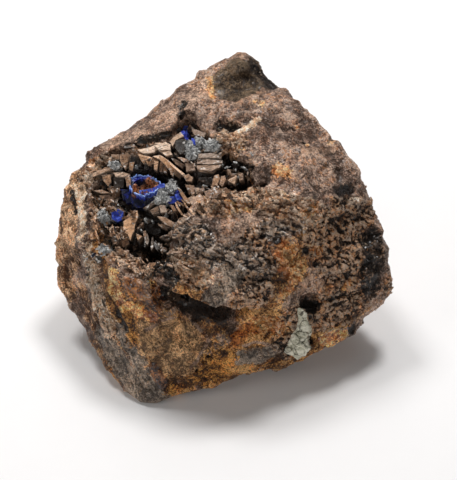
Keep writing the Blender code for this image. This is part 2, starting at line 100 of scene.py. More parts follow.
class Finish:
    """A material under construction. Positions in it are in millimetres."""

    def __init__(self, name):
        self.material = bpy.data.materials.new(name)
        self.material.use_nodes = True
        self.tree = self.material.node_tree
        self.tree.nodes.clear()
        coordinates = self.node("ShaderNodeTexCoord", {}, {}, "Object")
        self.place = self.vector("SCALE", coordinates, scale=1000.0)

    def node(self, kind, settings, values, output=0):
        made = self.tree.nodes.new(kind)
        for key, value in settings.items():
            setattr(made, key, value)
        for key, value in values.items():
            if isinstance(value, Socket):
                self.tree.links.new(value.socket, made.inputs[key])
            elif isinstance(value, tuple) and made.inputs[key].type == "RGBA":
                made.inputs[key].default_value = (*value, 1.0)
            else:
                made.inputs[key].default_value = value
        return Socket(self, made.outputs[output])

    def vector(self, operation, first, second=(0.0, 0.0, 0.0), scale=1.0):
        values = {0: first, 1: second, 3: scale}
        return self.node("ShaderNodeVectorMath", {"operation": operation}, values)

    def mix(self, factor, a, b, blend="MIX"):
        settings = {"data_type": "RGBA", "blend_type": blend}
        return self.node("ShaderNodeMix", settings, {0: factor, 6: a, 7: b}, 2)

    def attribute(self, name):
        return self.node("ShaderNodeAttribute", {"attribute_name": name}, {}, "Fac")

    def noise(self, size, detail=2.0, along=None, rough=0.55, warp=0.0, drawn=0.86):
        """Cloudy noise from about 0 to 1 with lumps of this size in millimetres, drawn out along
        a direction where one is given."""
        place = self.place
        if along:
            reach = self.node("ShaderNodeVectorMath", {"operation": "DOT_PRODUCT"}, {0: place, 1: along}, 1)
            place = self.vector("SUBTRACT", place, self.vector("SCALE", along, scale=reach * drawn))
        values = {"Vector": place, "Scale": 1.0 / size, "Detail": detail, "Roughness": rough}
        values["Distortion"] = warp
        return self.node("ShaderNodeTexNoise", {}, values)

    def grains(self, size, output="Color", feature="F1"):
        """Cells of about this size in millimetres."""
        wobble = self.node("ShaderNodeTexNoise", {}, {"Vector": self.place, "Scale": 1.4 / size}, "Color")
        place = self.vector("ADD", self.place, self.vector("SCALE", wobble, scale=size * 0.8))
        values = {"Vector": place, "Scale": 1.0 / size}
        return self.node("ShaderNodeTexVoronoi", {"feature": feature}, values, output)

    def finish(self, **values):
        """Sets the surface and returns the material."""
        names = {key: key.replace("_", " ") for key in values}
        values = {names[key]: value for key, value in values.items()}
        surface = self.node("ShaderNodeBsdfPrincipled", {}, values)
        output = self.tree.nodes.new("ShaderNodeOutputMaterial")
        self.tree.links.new(surface.socket, output.inputs["Surface"])
        return self.material


TABLE_HALF = 2.5
table_mesh = bpy.data.meshes.new("table")
corners = [(-TABLE_HALF, -TABLE_HALF, 0), (TABLE_HALF, -TABLE_HALF, 0), (TABLE_HALF, TABLE_HALF, 0)]
corners.append((-TABLE_HALF, TABLE_HALF, 0))
table_mesh.from_pydata(corners, [], [(0, 1, 2, 3)])
table = bpy.data.objects.new("table", table_mesh)
bpy.context.scene.collection.objects.link(table)
paper = Finish("white_table")
white = paper.mix(paper.noise(9.0), (0.86, 0.855, 0.86), (0.88, 0.875, 0.88))
table_mesh.materials.append(paper.finish(Base_Color=white, Roughness=0.7))

world = bpy.data.worlds.new("studio")
world.use_nodes = True
world.node_tree.nodes["Background"].inputs["Color"].default_value = (1.0, 0.985, 0.97, 1.0)
world.node_tree.nodes["Background"].inputs["Strength"].default_value = 0.08
bpy.context.scene.world = world


def soft_lamp(name, place, aim, size, power, colour):
    data = bpy.data.lights.new(name, "AREA")
    data.shape = "DISK"
    data.size = size
    data.energy = power
    data.color = colour
    lamp = bpy.data.objects.new(name, data)
    bpy.context.scene.collection.objects.link(lamp)
    lamp.location = place
    lamp.rotation_euler = (Vector(aim) - Vector(place)).to_track_quat("-Z", "Y").to_euler()


soft_lamp("back_ceiling", (0.0, 0.50, 0.70), (0, 0, 0.02), 0.60, 1.5, (1.0, 0.99, 0.985))
soft_lamp("back_left", (-0.20, 0.26, 0.57), (0, 0, 0.02), 0.16, 1.8, (1.0, 0.99, 0.98))
soft_lamp("back_right", (0.11, 0.26, 0.60), (0, 0, 0.02), 0.14, 2.2, (1.0, 0.99, 0.98))
soft_lamp("low_front", (0.0, -0.70, 0.30), (0, 0, 0.02), 0.40, 1.12, (1.0, 0.98, 0.96))
soft_lamp("low_left", (-0.60, -0.25, 0.35), (0, 0, 0.02), 0.40, 0.82, (1.0, 0.98, 0.96))

bpy.context.scene.view_settings.view_transform = "Standard"

lens = bpy.data.cameras.new("camera")
lens.lens = 100.0
lens.sensor_width = 36.0
lens.clip_start = 0.01
camera = bpy.data.objects.new("camera", lens)
bpy.context.scene.collection.objects.link(camera)
VIEW_DOWN = math.radians(40.0)
AIM = Vector((0.0, 0.0, 0.026))
STAND_OFF = 0.33333
camera.location = AIM + STAND_OFF * Vector((0.0, -math.cos(VIEW_DOWN), math.sin(VIEW_DOWN)))
camera.rotation_euler = (math.pi / 2 - VIEW_DOWN, 0.0, 0.0)
bpy.context.scene.camera = camera

# ---------------------------------------------------------------------------------------------
# The rock. One broken block of fine iron-stained carbonate rock: a smooth weathered skin above,
# a gritty weathered side, silky dark flakes, ochre and rust in the seams. It is as nature made it.

SKIN_CELL = 0.42
ROCK_TRIANGLES = 192000
VIEW_WIDE, VIEW_HIGH = 457, 480
FOCUS = lens.lens / lens.sensor_width * VIEW_HIGH
EYE = camera.location / MM
BACKWARD = (camera.location - AIM).normalized()
UPWARD = Vector((0.0, math.sin(VIEW_DOWN), math.cos(VIEW_DOWN)))
Patch = namedtuple("Patch", "radius path")

# Each patch has a reach in millimetres and a line of points on the rock's front, counted in
# pixels of the view from its upper left corner.
PATCHES = {
    "brown": [
        Patch(9.0, [(130, 325), (180, 345), (165, 380)]),
        Patch(7.0, [(215, 370), (255, 350), (300, 350)]),
        Patch(7.0, [(320, 235), (350, 265), (345, 300), (320, 330)]),
        Patch(6.0, [(290, 262), (255, 290), (262, 320)]),
        Patch(4.0, [(180, 276), (200, 300), (215, 320)]),
        Patch(3.0, [(98, 240), (106, 290), (118, 310)]),
        Patch(4.0, [(100, 340), (120, 370)]),
    ],
    "streaky": [
        Patch(3.0, [(76, 178), (72, 200), (70, 230), (76, 262)]),
        Patch(3.6, [(66, 196), (60, 220), (58, 245), (62, 275)]),
        Patch(3.6, [(66, 290), (76, 318), (88, 345)]),
        Patch(2.6, [(84, 290), (92, 315), (100, 340)]),
    ],
    "mauve": [
        Patch(3.2, [(206, 88), (186, 104), (164, 118), (140, 132), (112, 144)]),
        Patch(2.2, [(244, 228), (256, 216), (278, 212), (298, 212), (318, 218)]),
        Patch(2.6, [(232, 56), (250, 62)]),
    ],
    "slate": [
        Patch(3.2, [(103, 330), (114, 352), (130, 378), (146, 396)]),
        Patch(2.4, [(120, 330), (138, 360), (160, 396)]),
        Patch(2.0, [(90, 352), (108, 380), (126, 398)]),
        Patch(2.4, [(240, 358), (258, 358), (276, 350)]),
        Patch(3.0, [(232, 290), (236, 272), (226, 262)]),
        Patch(3.0, [(212, 300), (222, 292)]),
    ],
    "dusky": [
        Patch(4.0, [(240, 94), (256, 88), (266, 78)]),
        Patch(4.0, [(238, 82), (250, 74), (260, 70)]),
        Patch(2.6, [(219, 84), (228, 94), (240, 98)]),
        Patch(3.0, [(224, 76), (236, 68)]),
    ],
    "olive": [
        Patch(5.6, [(158, 338), (182, 342)]),
        Patch(5.0, [(166, 362), (190, 356)]),
        Patch(3.4, [(150, 328), (146, 345)]),
    ],
    "silky": [
        Patch(2.4, [(166, 234), (186, 228), (206, 236)]),
        Patch(2.4, [(168, 246), (192, 248), (212, 250)]),
        Patch(2.6, [(268, 230), (284, 227), (298, 223)]),
        Patch(2.0, [(212, 262), (226, 254), (244, 248)]),
        Patch(2.4, [(238, 252), (254, 262), (262, 272)]),
    ],
    "grit": [
        Patch(6.0, [(322, 238), (350, 234)]),
        Patch(6.5, [(338, 264), (364, 252)]),
        Patch(6.0, [(348, 296), (330, 312)]),
        Patch(5.0, [(302, 318), (292, 342), (330, 350)]),
        Patch(4.0, [(258, 290), (244, 304)]),
        Patch(4.0, [(256, 242), (262, 262)]),
        Patch(4.0, [(344, 206), (362, 216)]),
        Patch(3.0, [(388, 240), (390, 262), (392, 286)]),
    ],
    "flaky": [
        Patch(2.6, [(205, 198), (226, 194), (246, 194), (264, 198)]),
        Patch(1.8, [(186, 214), (204, 210), (222, 212)]),
        Patch(2.8, [(166, 264), (184, 272), (202, 277)]),
        Patch(2.0, [(172, 256), (192, 262)]),
        Patch(2.4, [(98, 202), (106, 228), (112, 250)]),
        Patch(1.8, [(118, 256), (134, 264), (150, 272)]),
        Patch(2.8, [(92, 262), (96, 285), (102, 306), (108, 328)]),
        Patch(2.2, [(232, 204), (250, 202), (270, 200), (290, 204), (312, 206)]),
        Patch(2.0, [(234, 150), (232, 168), (250, 176)]),
        Patch(2.2, [(222, 134), (240, 140)]),
        Patch(2.0, [(84, 182), (92, 172), (106, 160)]),
        Patch(2.6, [(300, 214), (322, 212)]),
        Patch(2.4, [(270, 208), (290, 216), (310, 220)]),
    ],
    "ochre": [
        Patch(2.0, [(132, 322), (132, 342)]),
        Patch(1.0, [(124, 304), (140, 315), (158, 321)]),
        Patch(2.8, [(208, 362), (226, 358)]),
        Patch(2.4, [(204, 376), (222, 372)]),
        Patch(1.6, [(168, 388), (196, 380)]),
    ],
    "rust": [
        Patch(1.0, [(262, 104)]), Patch(0.7, [(255, 101)]),
        Patch(0.9, [(209, 78), (211, 88), (213, 98)]),
        Patch(1.4, [(91, 163)]),
        Patch(1.0, [(331, 142)]), Patch(0.6, [(307, 145)]), Patch(0.6, [(298, 127)]),
        Patch(1.9, [(278, 170), (284, 172)]),
        Patch(0.9, [(241, 148)]), Patch(0.7, [(233, 150)]),
        Patch(1.0, [(228, 210), (236, 211)]),
        Patch(1.2, [(308, 213)]),
        Patch(3.6, [(284, 252), (290, 268)]), Patch(1.6, [(285, 243)]), Patch(2.0, [(296, 277)]),
        Patch(1.3, [(316, 249)]),
        Patch(0.8, [(344, 289), (350, 281)]),
        Patch(1.4, [(281, 297), (290, 290)]),
        Patch(1.6, [(260, 326), (275, 321)]),
        Patch(1.6, [(156, 290), (162, 297)]),
        Patch(2.4, [(258, 322), (272, 326), (282, 330)]),
        Patch(1.0, [(309, 248), (320, 248)]), Patch(0.7, [(312, 212), (315, 207)]),
        Patch(0.8, [(243, 205), (249, 210)]), Patch(0.8, [(226, 200), (236, 206)]),
        Patch(0.9, [(108, 261)]),
    ],
    "amber": [
        Patch(2.0, [(113, 276), (117, 294), (124, 303)]),
        Patch(1.6, [(126, 304), (138, 312), (154, 316)]),
        Patch(1.3, [(152, 284), (160, 292)]),
        Patch(2.4, [(328, 336), (342, 332)]),
        Patch(1.2, [(322, 340), (330, 345)]),
    ],
    "ember": [
        Patch(1.7, [(236, 341), (242, 334)]), Patch(1.3, [(156, 290), (164, 297)]), Patch(1.2, [(248, 326), (256, 330)]),
    ],
    "tan": [
        Patch(0.9, [(236, 57), (247, 62)]),
        Patch(1.1, [(236, 105), (250, 98), (263, 91), (276, 84)]),
        Patch(1.0, [(304, 153), (312, 149), (325, 151), (334, 147)]),
        Patch(0.5, [(262, 207), (285, 204), (310, 206)]),
        Patch(0.8, [(326, 276), (330, 268), (334, 263)]), Patch(0.5, [(322, 269), (336, 276)]),
        Patch(0.5, [(314, 288), (324, 283)]), Patch(0.7, [(302, 293), (304, 285), (310, 278)]),
        Patch(0.7, [(294, 175), (298, 181)]),
        Patch(0.5, [(244, 346), (256, 342), (270, 345)]),
        Patch(0.9, [(352, 186), (364, 179)]),
        Patch(0.5, [(190, 318), (209, 340), (196, 362), (178, 382)]), Patch(0.5, [(146, 330), (170, 318), (190, 318)]),
    ],
    "cream": [
        Patch(0.9, [(236, 134), (244, 129), (251, 124), (258, 119)]),
        Patch(0.9, [(282, 193), (286, 197)]), Patch(0.6, [(291, 200)]), Patch(0.7, [(272, 201)]),
        Patch(0.7, [(348, 201), (357, 199)]), Patch(0.5, [(364, 205)]),
        Patch(1.9, [(81, 186), (82, 196)]), Patch(1.5, [(80, 204), (82, 222), (80, 236)]),
        Patch(1.8, [(87, 250), (88, 266)]), Patch(1.2, [(90, 285), (94, 306)]),
        Patch(0.6, [(192, 270), (198, 274)]),
        Patch(2.3, [(90, 268), (96, 288), (103, 308), (110, 324)]), Patch(1.3, [(88, 178), (100, 168)]),
    ],
    "glass": [
        Patch(1.9, [(132, 284), (138, 292)]),
        Patch(0.9, [(277, 240)]),
        Patch(1.6, [(154, 368), (162, 382)]),
        Patch(1.4, [(150, 302), (156, 306)]),
    ],
    # Black stone in places, and elsewhere painted shade: under the crease's overhang, at the apex, in recesses, in the
    # pit and under the hollow's rim.
    "black": [
        Patch(1.9, [(258, 68), (267, 76), (272, 85)]),
        Patch(3.2, [(371, 240), (373, 260), (370, 284)]),
        Patch(1.5, [(340, 191), (352, 189), (366, 186)]),
        Patch(1.1, [(277, 240)]), Patch(0.9, [(262, 236)]),
        Patch(0.9, [(306, 250)]), Patch(1.0, [(316, 264)]),
        Patch(1.3, [(140, 141), (154, 139), (168, 134)]), Patch(0.8, [(128, 146), (138, 147)]),
        Patch(1.9, [(222, 158), (236, 166), (248, 171)]),
        Patch(1.4, [(352, 330), (362, 327)]),
        Patch(3.2, [(172, 292), (196, 306), (220, 314)]),
        Patch(1.2, [(184, 104), (181, 116)]),
        Patch(2.0, [(160, 262), (172, 280)]),
        Patch(1.6, [(222, 127), (234, 129)]),
        Patch(0.8, [(118, 312), (126, 330)]),
        Patch(3.4, [(146, 238), (156, 250), (160, 262)]),
        Patch(0.7, [(72, 192), (75, 213)]),
    ],
    # Holes, slots and cracks, dug into the rock and painted near black as shade.
    "hole_with_painted_shade": [
        Patch(1.9, [(306, 304), (313, 306)]),
        Patch(0.5, [(311, 328), (312, 343)]),
        Patch(0.22, [(221, 256), (232, 266), (243, 280)]), Patch(0.16, [(243, 280), (264, 280)]),
        Patch(0.8, [(168, 289), (188, 298), (206, 305)]),
        Patch(0.45, [(208, 357), (212, 359)]), Patch(0.5, [(205, 363)]), Patch(0.45, [(197, 371)]),
        Patch(0.5, [(294, 129)]), Patch(0.45, [(304, 143)]), Patch(0.6, [(80, 263)]),
        Patch(0.4, [(256, 187), (266, 184)]), Patch(0.9, [(243, 186)]),
        Patch(0.3, [(118, 318), (126, 340)]),
    ],
}


def sight(across, down):
    """The way that the lens looks through a point of the view, given in pixels."""
    sideways = Vector((across - VIEW_WIDE / 2, 0, 0)) - UPWARD * (down - VIEW_HIGH / 2)
    return (sideways / FOCUS - BACKWARD).normalized()


def copied(name, new_name):
    """A loose copy of a node's mesh with its split corners joined, in millimetres."""
    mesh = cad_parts[name].data.copy()
    build = bmesh.new()
    build.from_mesh(mesh)
    bmesh.ops.remove_doubles(build, verts=build.verts, dist=1e-6)
    bmesh.ops.scale(build, vec=(1 / MM,) * 3, verts=build.verts)
    build.to_mesh(mesh)
    build.free()
    mesh.materials.clear()
    for attribute in [a.name for a in mesh.attributes if not a.is_required and not a.is_internal]:
        mesh.attributes.remove(mesh.attributes[attribute])
    piece = bpy.data.objects.new(new_name, mesh)
    bpy.context.scene.collection.objects.link(piece)
    return piece


def baked(piece):
    """Replaces the piece's mesh by what its modifiers make of it."""
    bpy.context.view_layer.update()
    graph = bpy.context.evaluated_depsgraph_get()
    mesh = bpy.data.meshes.new_from_object(piece.evaluated_get(graph))
    piece.modifiers.clear()
    piece.data = mesh
    return piece


def regridded(piece, cell, smoothing):
    """The piece with an even skin of small faces, and the corners of its large ones softened."""
    regrid = piece.modifiers.new("regrid", "REMESH")
    regrid.mode = "VOXEL"
    regrid.voxel_size = cell
    if smoothing:
        soften = piece.modifiers.new("soften", "SMOOTH")
        soften.factor = 0.5
        soften.iterations = smoothing
    return baked(piece)


def places_of(mesh):
    places = np.empty(len(mesh.vertices) * 3)
    mesh.vertices.foreach_get("co", places)
    return places.reshape(-1, 3)


def normals_of(mesh):
    normals = np.empty(len(mesh.vertices) * 3, np.float32)
    mesh.vertex_normals.foreach_get("vector", normals)
    return normals.reshape(-1, 3).astype(float)


def tree_of(mesh):
    """What rays are cast at: the mesh's faces, in the mesh's own units."""
    return BVHTree.FromPolygons([v.co for v in mesh.vertices], [f.vertices[:] for f in mesh.polygons])


def neighbour_mean(mesh, places, rounds):
    """The places after each has moved to the mean of its neighbours this many times."""
    ends = np.empty(len(mesh.edges) * 2, np.int32)
    mesh.edges.foreach_get("vertices", ends)
    a, b = ends.reshape(-1, 2).T
    count = np.bincount(np.concatenate([a, b]), minlength=len(places))[:, None]
    for _ in range(rounds):
        total = np.zeros_like(places)
        for axis in range(places.shape[1]):
            total[:, axis] += np.bincount(a, places[b, axis], len(places))
            total[:, axis] += np.bincount(b, places[a, axis], len(places))
        places = total / count
    return places


def soft_step(low, high, values):
    t = np.clip((values - low) / (high - low), 0, 1)
    return t * t * (3 - 2 * t)


def cloudy(places, size, octaves=3, shift=0.0):
    """Cloudy noise from about -1 to 1 at each place."""
    offset = Vector((shift, shift * 1.7, -shift))
    return np.array([noise.fractal(Vector(p) / size + offset, 0.9, 2.0, octaves) for p in places])


# The wavy edges of the chips come out the same each time.
CHIP_SEED = 4
noise.seed_set(CHIP_SEED)


def chips(places, size, stretch=(1, 1, 1), shift=0.0):
    """Rock broken into chips of this size. Gives the slope of each chip's own flat face, from
    about -1 to 1, and how close each place is to the crack between two chips, in chip sizes."""
    offset = Vector((shift, -shift, shift * 2.3))
    stretch = Vector(stretch)
    found = np.empty((len(places), 2))
    for i, p in enumerate(places):
        q = Vector(p) * stretch / size + offset
        q += 0.3 * noise.noise_vector(q * 1.3)
        distances, centres = noise.voronoi(q)
        tilt = noise.cell_vector(centres[0] * 31.7) - Vector((0.5, 0.5, 0.5))
        found[i] = (q - centres[0]).dot(tilt) * 2.4 + tilt.x, distances[1] - distances[0]
    return found[:, 0], found[:, 1]


def ridges(places, size, octaves=3, shift=0.0):
    """Sharp ridges round rounded holes, from about -1 in the holes to 1 on the ridges."""
    offset = Vector((shift, -2 * shift, shift * 0.6))
    found = np.zeros(len(places))
    for octave in range(octaves):
        scale = 2.1**octave / size
        found += [0.5**octave * (0.55 - 2.6 * abs(noise.noise(Vector(p) * scale + offset))) for p in places]
    return np.clip(found, -1.2, 1.0)


def distance_to(path, places):
    """How far each place is from a line through the points of a path."""
    path = np.array(path, float)
    if len(path) == 1:
        return np.linalg.norm(places - path[0], axis=1)
    nearest = np.full(len(places), 1e9)
    for start, end in zip(path, path[1:]):
        along = end - start
        t = np.clip((places - start) @ along / (along @ along), 0, 1)
        nearest = np.minimum(nearest, np.linalg.norm(places - start - t[:, None] * along, axis=1))
    return nearest


def put(mesh, name, values):
    layer = mesh.attributes.new(name, "FLOAT", "POINT")
    layer.data.foreach_set("value", np.asarray(values, np.float32))


# Where the block reaches a little further out, in pixels of the view, and by how many millimetres.
Lift = namedtuple("Lift", "point radius step")
LIFTS = [Lift((243, 62), 9.0, (-0.3, 0.0, 1.5)), Lift((148, 392), 8.0, (0.3, -1.3, 0.0))]

rock = copied("rock", "rock_body")
bare_tree = tree_of(rock.data)
rock = regridded(rock, SKIN_CELL, 1)
places = places_of(rock.data)
normals = normals_of(rock.data)

# How near each place is to the patches of each kind: 1 at their middle, 0 at their edge.
HIDDEN_KINDS = {"grit": (11.0, 0.15), "ochre": (6.0, 0.42), "slate": (9.0, 0.3), "rust": (5.0, 0.5)}
hidden = soft_step(0.05, -0.25, normals @ np.array(BACKWARD))
near = {}
for turn, (kind, patches) in enumerate(PATCHES.items()):
    near[kind] = np.full(len(places), -3.0)
    for patch in patches:
        hits = [bare_tree.ray_cast(EYE, sight(*point))[0] for point in patch.path]
        path = [hit for hit in hits if hit is not None]
        if path:
            near[kind] = np.maximum(near[kind], 1.0 - distance_to(path, places) / patch.radius)
    if kind in HIDDEN_KINDS:
        size, share = HIDDEN_KINDS[kind]
        strewn = 3.0 * (cloudy(places, size, 3, 20.0 + turn) - share) + 0.5
        near[kind] = np.maximum(near[kind], strewn * hidden - 3.0 * (1 - hidden))
wander = cloudy(places, 3.0, 5)
blend = {kind: soft_step(-0.1, 0.3, share + 0.45 * wander) for kind, share in near.items()}

FIBRE = Vector((0.37, -0.72, -0.58)).normalized()
SILK = Vector((0.85, 0.3, 0.42)).normalized()
BEDDING = Matrix.Rotation(math.radians(24), 3, "Y") @ Matrix.Rotation(math.radians(-20), 3, "X")
bedded = places @ np.array(BEDDING)
coarse = cloudy(places, 9.0, 3, 3.0)
fine = cloudy(places, 1.3, 4, 5.0)
large, large_crack = chips(places, 6.0, (1, 1, 1.2))
middle, middle_crack = chips(bedded, 2.2, (1, 0.8, 1.5), 4.0)
small, small_crack = chips(bedded, 0.95, (1, 0.8, 1.4), 8.0)
flake, flake_crack = chips(bedded, 2.0, (0.55, 0.7, 2.4), 2.0)

crest = ridges(places, 2.8, 3, 9.0)
fibre = np.array(FIBRE)
ribs = cloudy(places - 0.85 * (places @ fibre)[:, None] * fibre, 1.1, 3, 12.0)

rough = np.clip(blend["grit"] + 0.6 * blend["flaky"] + 0.3 * blend["silky"] + 0.5 * blend["rust"], 0, 1)
calm = np.clip(blend["slate"] + blend["olive"] + blend["mauve"] + blend["tan"], 0, 1) * (1 - rough)
push = 0.24 * coarse + (0.20 - 0.12 * calm) * large + 0.04 * fine
push += (0.10 + 0.30 * rough) * middle + (0.06 + 0.18 * rough) * small
push += rough * 0.16 * crest
push -= rough * 0.12 * (1 - soft_step(0.0, 0.14, middle_crack)) + 0.10 * (1 - soft_step(0.0, 0.05, large_crack))
sheets = np.clip(blend["flaky"] + blend["silky"], 0, 1)
push += sheets * (0.55 * flake - 0.3 * (1 - soft_step(0.0, 0.12, flake_crack)))
push += np.clip(blend["streaky"] + 0.6 * blend["slate"], 0, 1) * 0.30 * ribs
push -= blend["black"] * 0.4 + blend["hole_with_painted_shade"] * 1.4
push += blend["amber"] * 0.25 + blend["glass"] * 0.3
push *= soft_step(0.2, 1.6, places[:, 2])
moved = places + normals * push[:, None]
for lift in LIFTS:
    hit = bare_tree.ray_cast(EYE, sight(*lift.point))[0]
    away = np.linalg.norm(places - np.array(hit), axis=1)
    moved += soft_step(lift.radius, 0.0, away)[:, None] * np.array(lift.step)
moved[:, 2] = np.maximum(moved[:, 2], 0)
rock.data.vertices.foreach_set("co", moved.ravel())
rock.data.update()

# How far each place stands out of its neighbours, near and wide; the material paints highlight on what stands out and
# shade in what sinks in.
bump_out = ((moved - neighbour_mean(rock.data, moved, 4)) * normals).sum(1)
hollow_out = ((moved - neighbour_mean(rock.data, moved, 24)) * normals).sum(1)
put(rock.data, "ridge", np.clip(bump_out / 0.12, -1, 1))
put(rock.data, "swell", np.clip(hollow_out / 0.4, -1, 1))
for kind, share in near.items():
    put(rock.data, kind, np.maximum(share, -1.0))
put(rock.data, "tone", np.full(len(places), 0.5))
off_table = soft_step(1.2, 3.0, places[:, 2])
put(rock.data, "chipped", off_table * rough * (1 - blend["hole_with_painted_shade"]) * soft_step(-0.5, 0.4, cloudy(places, 3.0, 3, 31.0)))
put(rock.data, "sheets", off_table * sheets * (1 - blend["hole_with_painted_shade"]))
put(rock.data, "rough", np.clip(rough + sheets, 0, 1))
thin_out = rock.modifiers.new("fewer faces where it is flat", "DECIMATE")
thin_out.ratio = ROCK_TRIANGLES / (2 * len(rock.data.polygons))
baked(rock)
rock.data.polygons.foreach_set("use_smooth", [True] * len(rock.data.polygons))

stone = Finish("rock")
speck = stone.noise(0.40, 3.0, None, 0.65)
mottle = stone.noise(1.5, 6.0, None, 0.68, 1.2)
flow = stone.noise(0.85, 5.0, SILK, 0.7, 0.9, 0.62)
hue = stone.noise(2.4, 4.0, None, 0.62, 1.4)
thread = (stone.noise(1.7, 5.0, None, 0.6, 1.6) - 0.5).math("ABSOLUTE") * 2.0
patchy = stone.noise(3.6, 4.0, None, 0.6, 1.0)
broad = stone.noise(9.0, 3.0, None, 0.5, 0.8)
crease = (stone.noise(2.2, 6.0, None, 0.62, 0.4) - 0.5).math("ABSOLUTE") * 2.0
fibres = stone.noise(0.9, 4.0, FIBRE, 0.65)
threads = stone.noise(0.6, 4.0, SILK, 0.65)
grain = stone.grains(0.48)
grain_red = stone.node("ShaderNodeSeparateColor", {}, {0: grain})
grain_green = stone.node("ShaderNodeSeparateColor", {}, {0: grain}, 1)
grain_blue = stone.node("ShaderNodeSeparateColor", {}, {0: grain}, 2)
ridge = stone.attribute("ridge")
swell = stone.attribute("swell")
tone = stone.attribute("tone")
worn = stone.attribute("rough")

# For each kind of stone: its shaded, middle, raised and fleck colours, the share of flecks, how
# grainy it is, and how far its patches fray at the edge.
Look = namedtuple("Look", "shade middle raised fleck flecks grainy fray red")
SKIN_LOOK = Look((0.105, 0.058, 0.036), (0.35, 0.240, 0.187), (0.60, 0.43, 0.33), (0.42, 0.20, 0.09), 0.12, 0.35, 0, 0.55)
LOOKS = {
    "brown": Look((0.075, 0.028, 0.007), (0.43, 0.185, 0.048), (0.802, 0.464, 0.18), (0.62, 0.27, 0.09), 0.10, 0.45, 0.6, 0.6),
    "streaky": Look((0.122, 0.05, 0.019), (0.561, 0.319, 0.167), (0.976, 0.661, 0.421), (0.62, 0.3, 0.12), 0.06, 0.2, 0.5, 0.5),
    "mauve": Look((0.20, 0.122, 0.086), (0.48, 0.32, 0.235), (0.78, 0.55, 0.41), (0.42, 0.24, 0.14), 0.08, 0.3, 0.4, 0.3),
    "dusky": Look((0.034, 0.021, 0.012), (0.098, 0.064, 0.036), (0.20, 0.14, 0.085), (0.2, 0.15, 0.11), 0.04, 0.35, 0.4, 0.2),
    "slate": Look((0.096, 0.070, 0.049), (0.29, 0.228, 0.175), (0.52, 0.40, 0.305), (0.42, 0.25, 0.13), 0.05, 0.15, 0.5, 0.25),
    "olive": Look((0.23, 0.132, 0.064), (0.65, 0.375, 0.175), (0.918, 0.567, 0.288), (0.55, 0.25, 0.10), 0.08, 0.4, 0.5, 0.3),
    "grit": Look((0.022, 0.011, 0.005), (0.254, 0.127, 0.067), (0.713, 0.454, 0.292), (0.62, 0.25, 0.07), 0.16, 0.45, 0.5, 0.8),
    # Silky flakes: dark stone, whose near-white raised colour along the threads is painted sheen.
    "silky": Look((0.044, 0.034, 0.028), (0.34, 0.285, 0.25), (1.0, 0.92, 0.84), (0.50, 0.28, 0.14), 0.10, 0.2, 0.6, 0.25),
    "flaky": Look((0.34, 0.175, 0.095), (1.0, 0.63, 0.41), (1.0, 0.82, 0.63), (0.62, 0.27, 0.09), 0.16, 0.5, 0.6, 0.8),
    "ochre": Look((0.040, 0.012, 0.003), (0.33, 0.138, 0.029), (0.76, 0.38, 0.10), (0.6, 0.24, 0.05), 0.1, 0.35, 0.7, 0.5),
    "rust": Look((0.56, 0.185, 0.042), (0.962, 0.41, 0.126), (1.0, 0.742, 0.36), (0.80, 0.30, 0.05), 0.2, 0.5, 0.8, 0.8),
    "amber": Look((0.39, 0.109, 0.021), (0.936, 0.38, 0.093), (1.0, 0.782, 0.323), (0.85, 0.36, 0.07), 0.1, 0.15, 0.5, 0.4),
    "ember": Look((0.143, 0.032, 0.006), (0.44, 0.137, 0.027), (0.66, 0.263, 0.063), (0.6, 0.2, 0.05), 0.05, 0.1, 0.4, 0.4),
    "tan": Look((0.297, 0.182, 0.121), (0.446, 0.284, 0.196), (0.608, 0.412, 0.297), (0.45, 0.25, 0.14), 0.05, 0.2, 0.7, 0.4),
    "cream": Look((0.72, 0.46, 0.28), (1.0, 0.76, 0.53), (1.0, 0.96, 0.86), (0.66, 0.36, 0.18), 0.08, 0.4, 0.9, 0.5),
    "glass": Look((0.022, 0.006, 0.0015), (0.11, 0.034, 0.008), (0.33, 0.13, 0.036), (0.5, 0.2, 0.06), 0.05, 0.1, 0.3, 0.4),
    # Black stone, and painted shade where its patches stand in for shadow.
    "black": Look((0.0015, 0.001, 0.0007), (0.005, 0.0033, 0.002), (0.065, 0.038, 0.022), (0.5, 0.4, 0.3), 0.03, 0.5, 1.0, 0.3),
    # Painted shade inside holes, slots and cracks.
    "hole_with_painted_shade": Look((0.003, 0.002, 0.002), (0.004, 0.003, 0.002), (0.012, 0.009, 0.006), (0.02, 0.01, 0.01), 0.0, 0.0, 0.45, 0.0),
}


def worked(look, lines):
    """The colour of one kind of stone, from its table."""
    level = lines * (1.0 - look.grainy) + (grain_red * 0.5 + 0.25) * look.grainy
    # The level rises a little on raised places: a slight painted highlight.
    level = level + (patchy - 0.5) * 0.8 + (broad - 0.5) * look.red + (speck - 0.5) * 0.8 + 0.06 * ridge
    colour = stone.mix(level.over(0.39, 0.50), look.shade, look.middle)
    colour = stone.mix(level.over(0.525, 0.63), colour, look.raised)
    colour = stone.mix(hue.over(0.52, 0.60) * look.red, colour, stone.mix(1.0, colour, (1.25, 0.86, 0.60), "MULTIPLY"))
    flecks = grain_green.over(0.97 - look.flecks, 1.0 - look.flecks) * (broad + 0.5 * patchy).over(0.68, 0.80)
    return stone.mix(flecks * 0.8, colour, look.fleck)


shares = {kind: stone.attribute(kind) for kind in LOOKS}
colour = worked(SKIN_LOOK, mottle)
for kind, look in LOOKS.items():
    lines = fibres if kind in ("streaky", "slate") else threads if kind == "silky" else mottle
    lines = flow if kind in ("grit", "flaky", "rust", "cream", "amber") else lines
    frayed = shares[kind] + (mottle - 0.5) * (4.5 * look.fray) + (speck - 0.5) * (1.2 * look.fray)
    strength = 0.55 + 0.45 * worn if kind == "rust" else 1.0
    colour = stone.mix(frayed.over(0.0, 0.14) * strength, colour, worked(look, lines))
pale_kinds = shares["flaky"].at_least(shares["cream"]).at_least(shares["rust"]).over(0.0, 0.4)
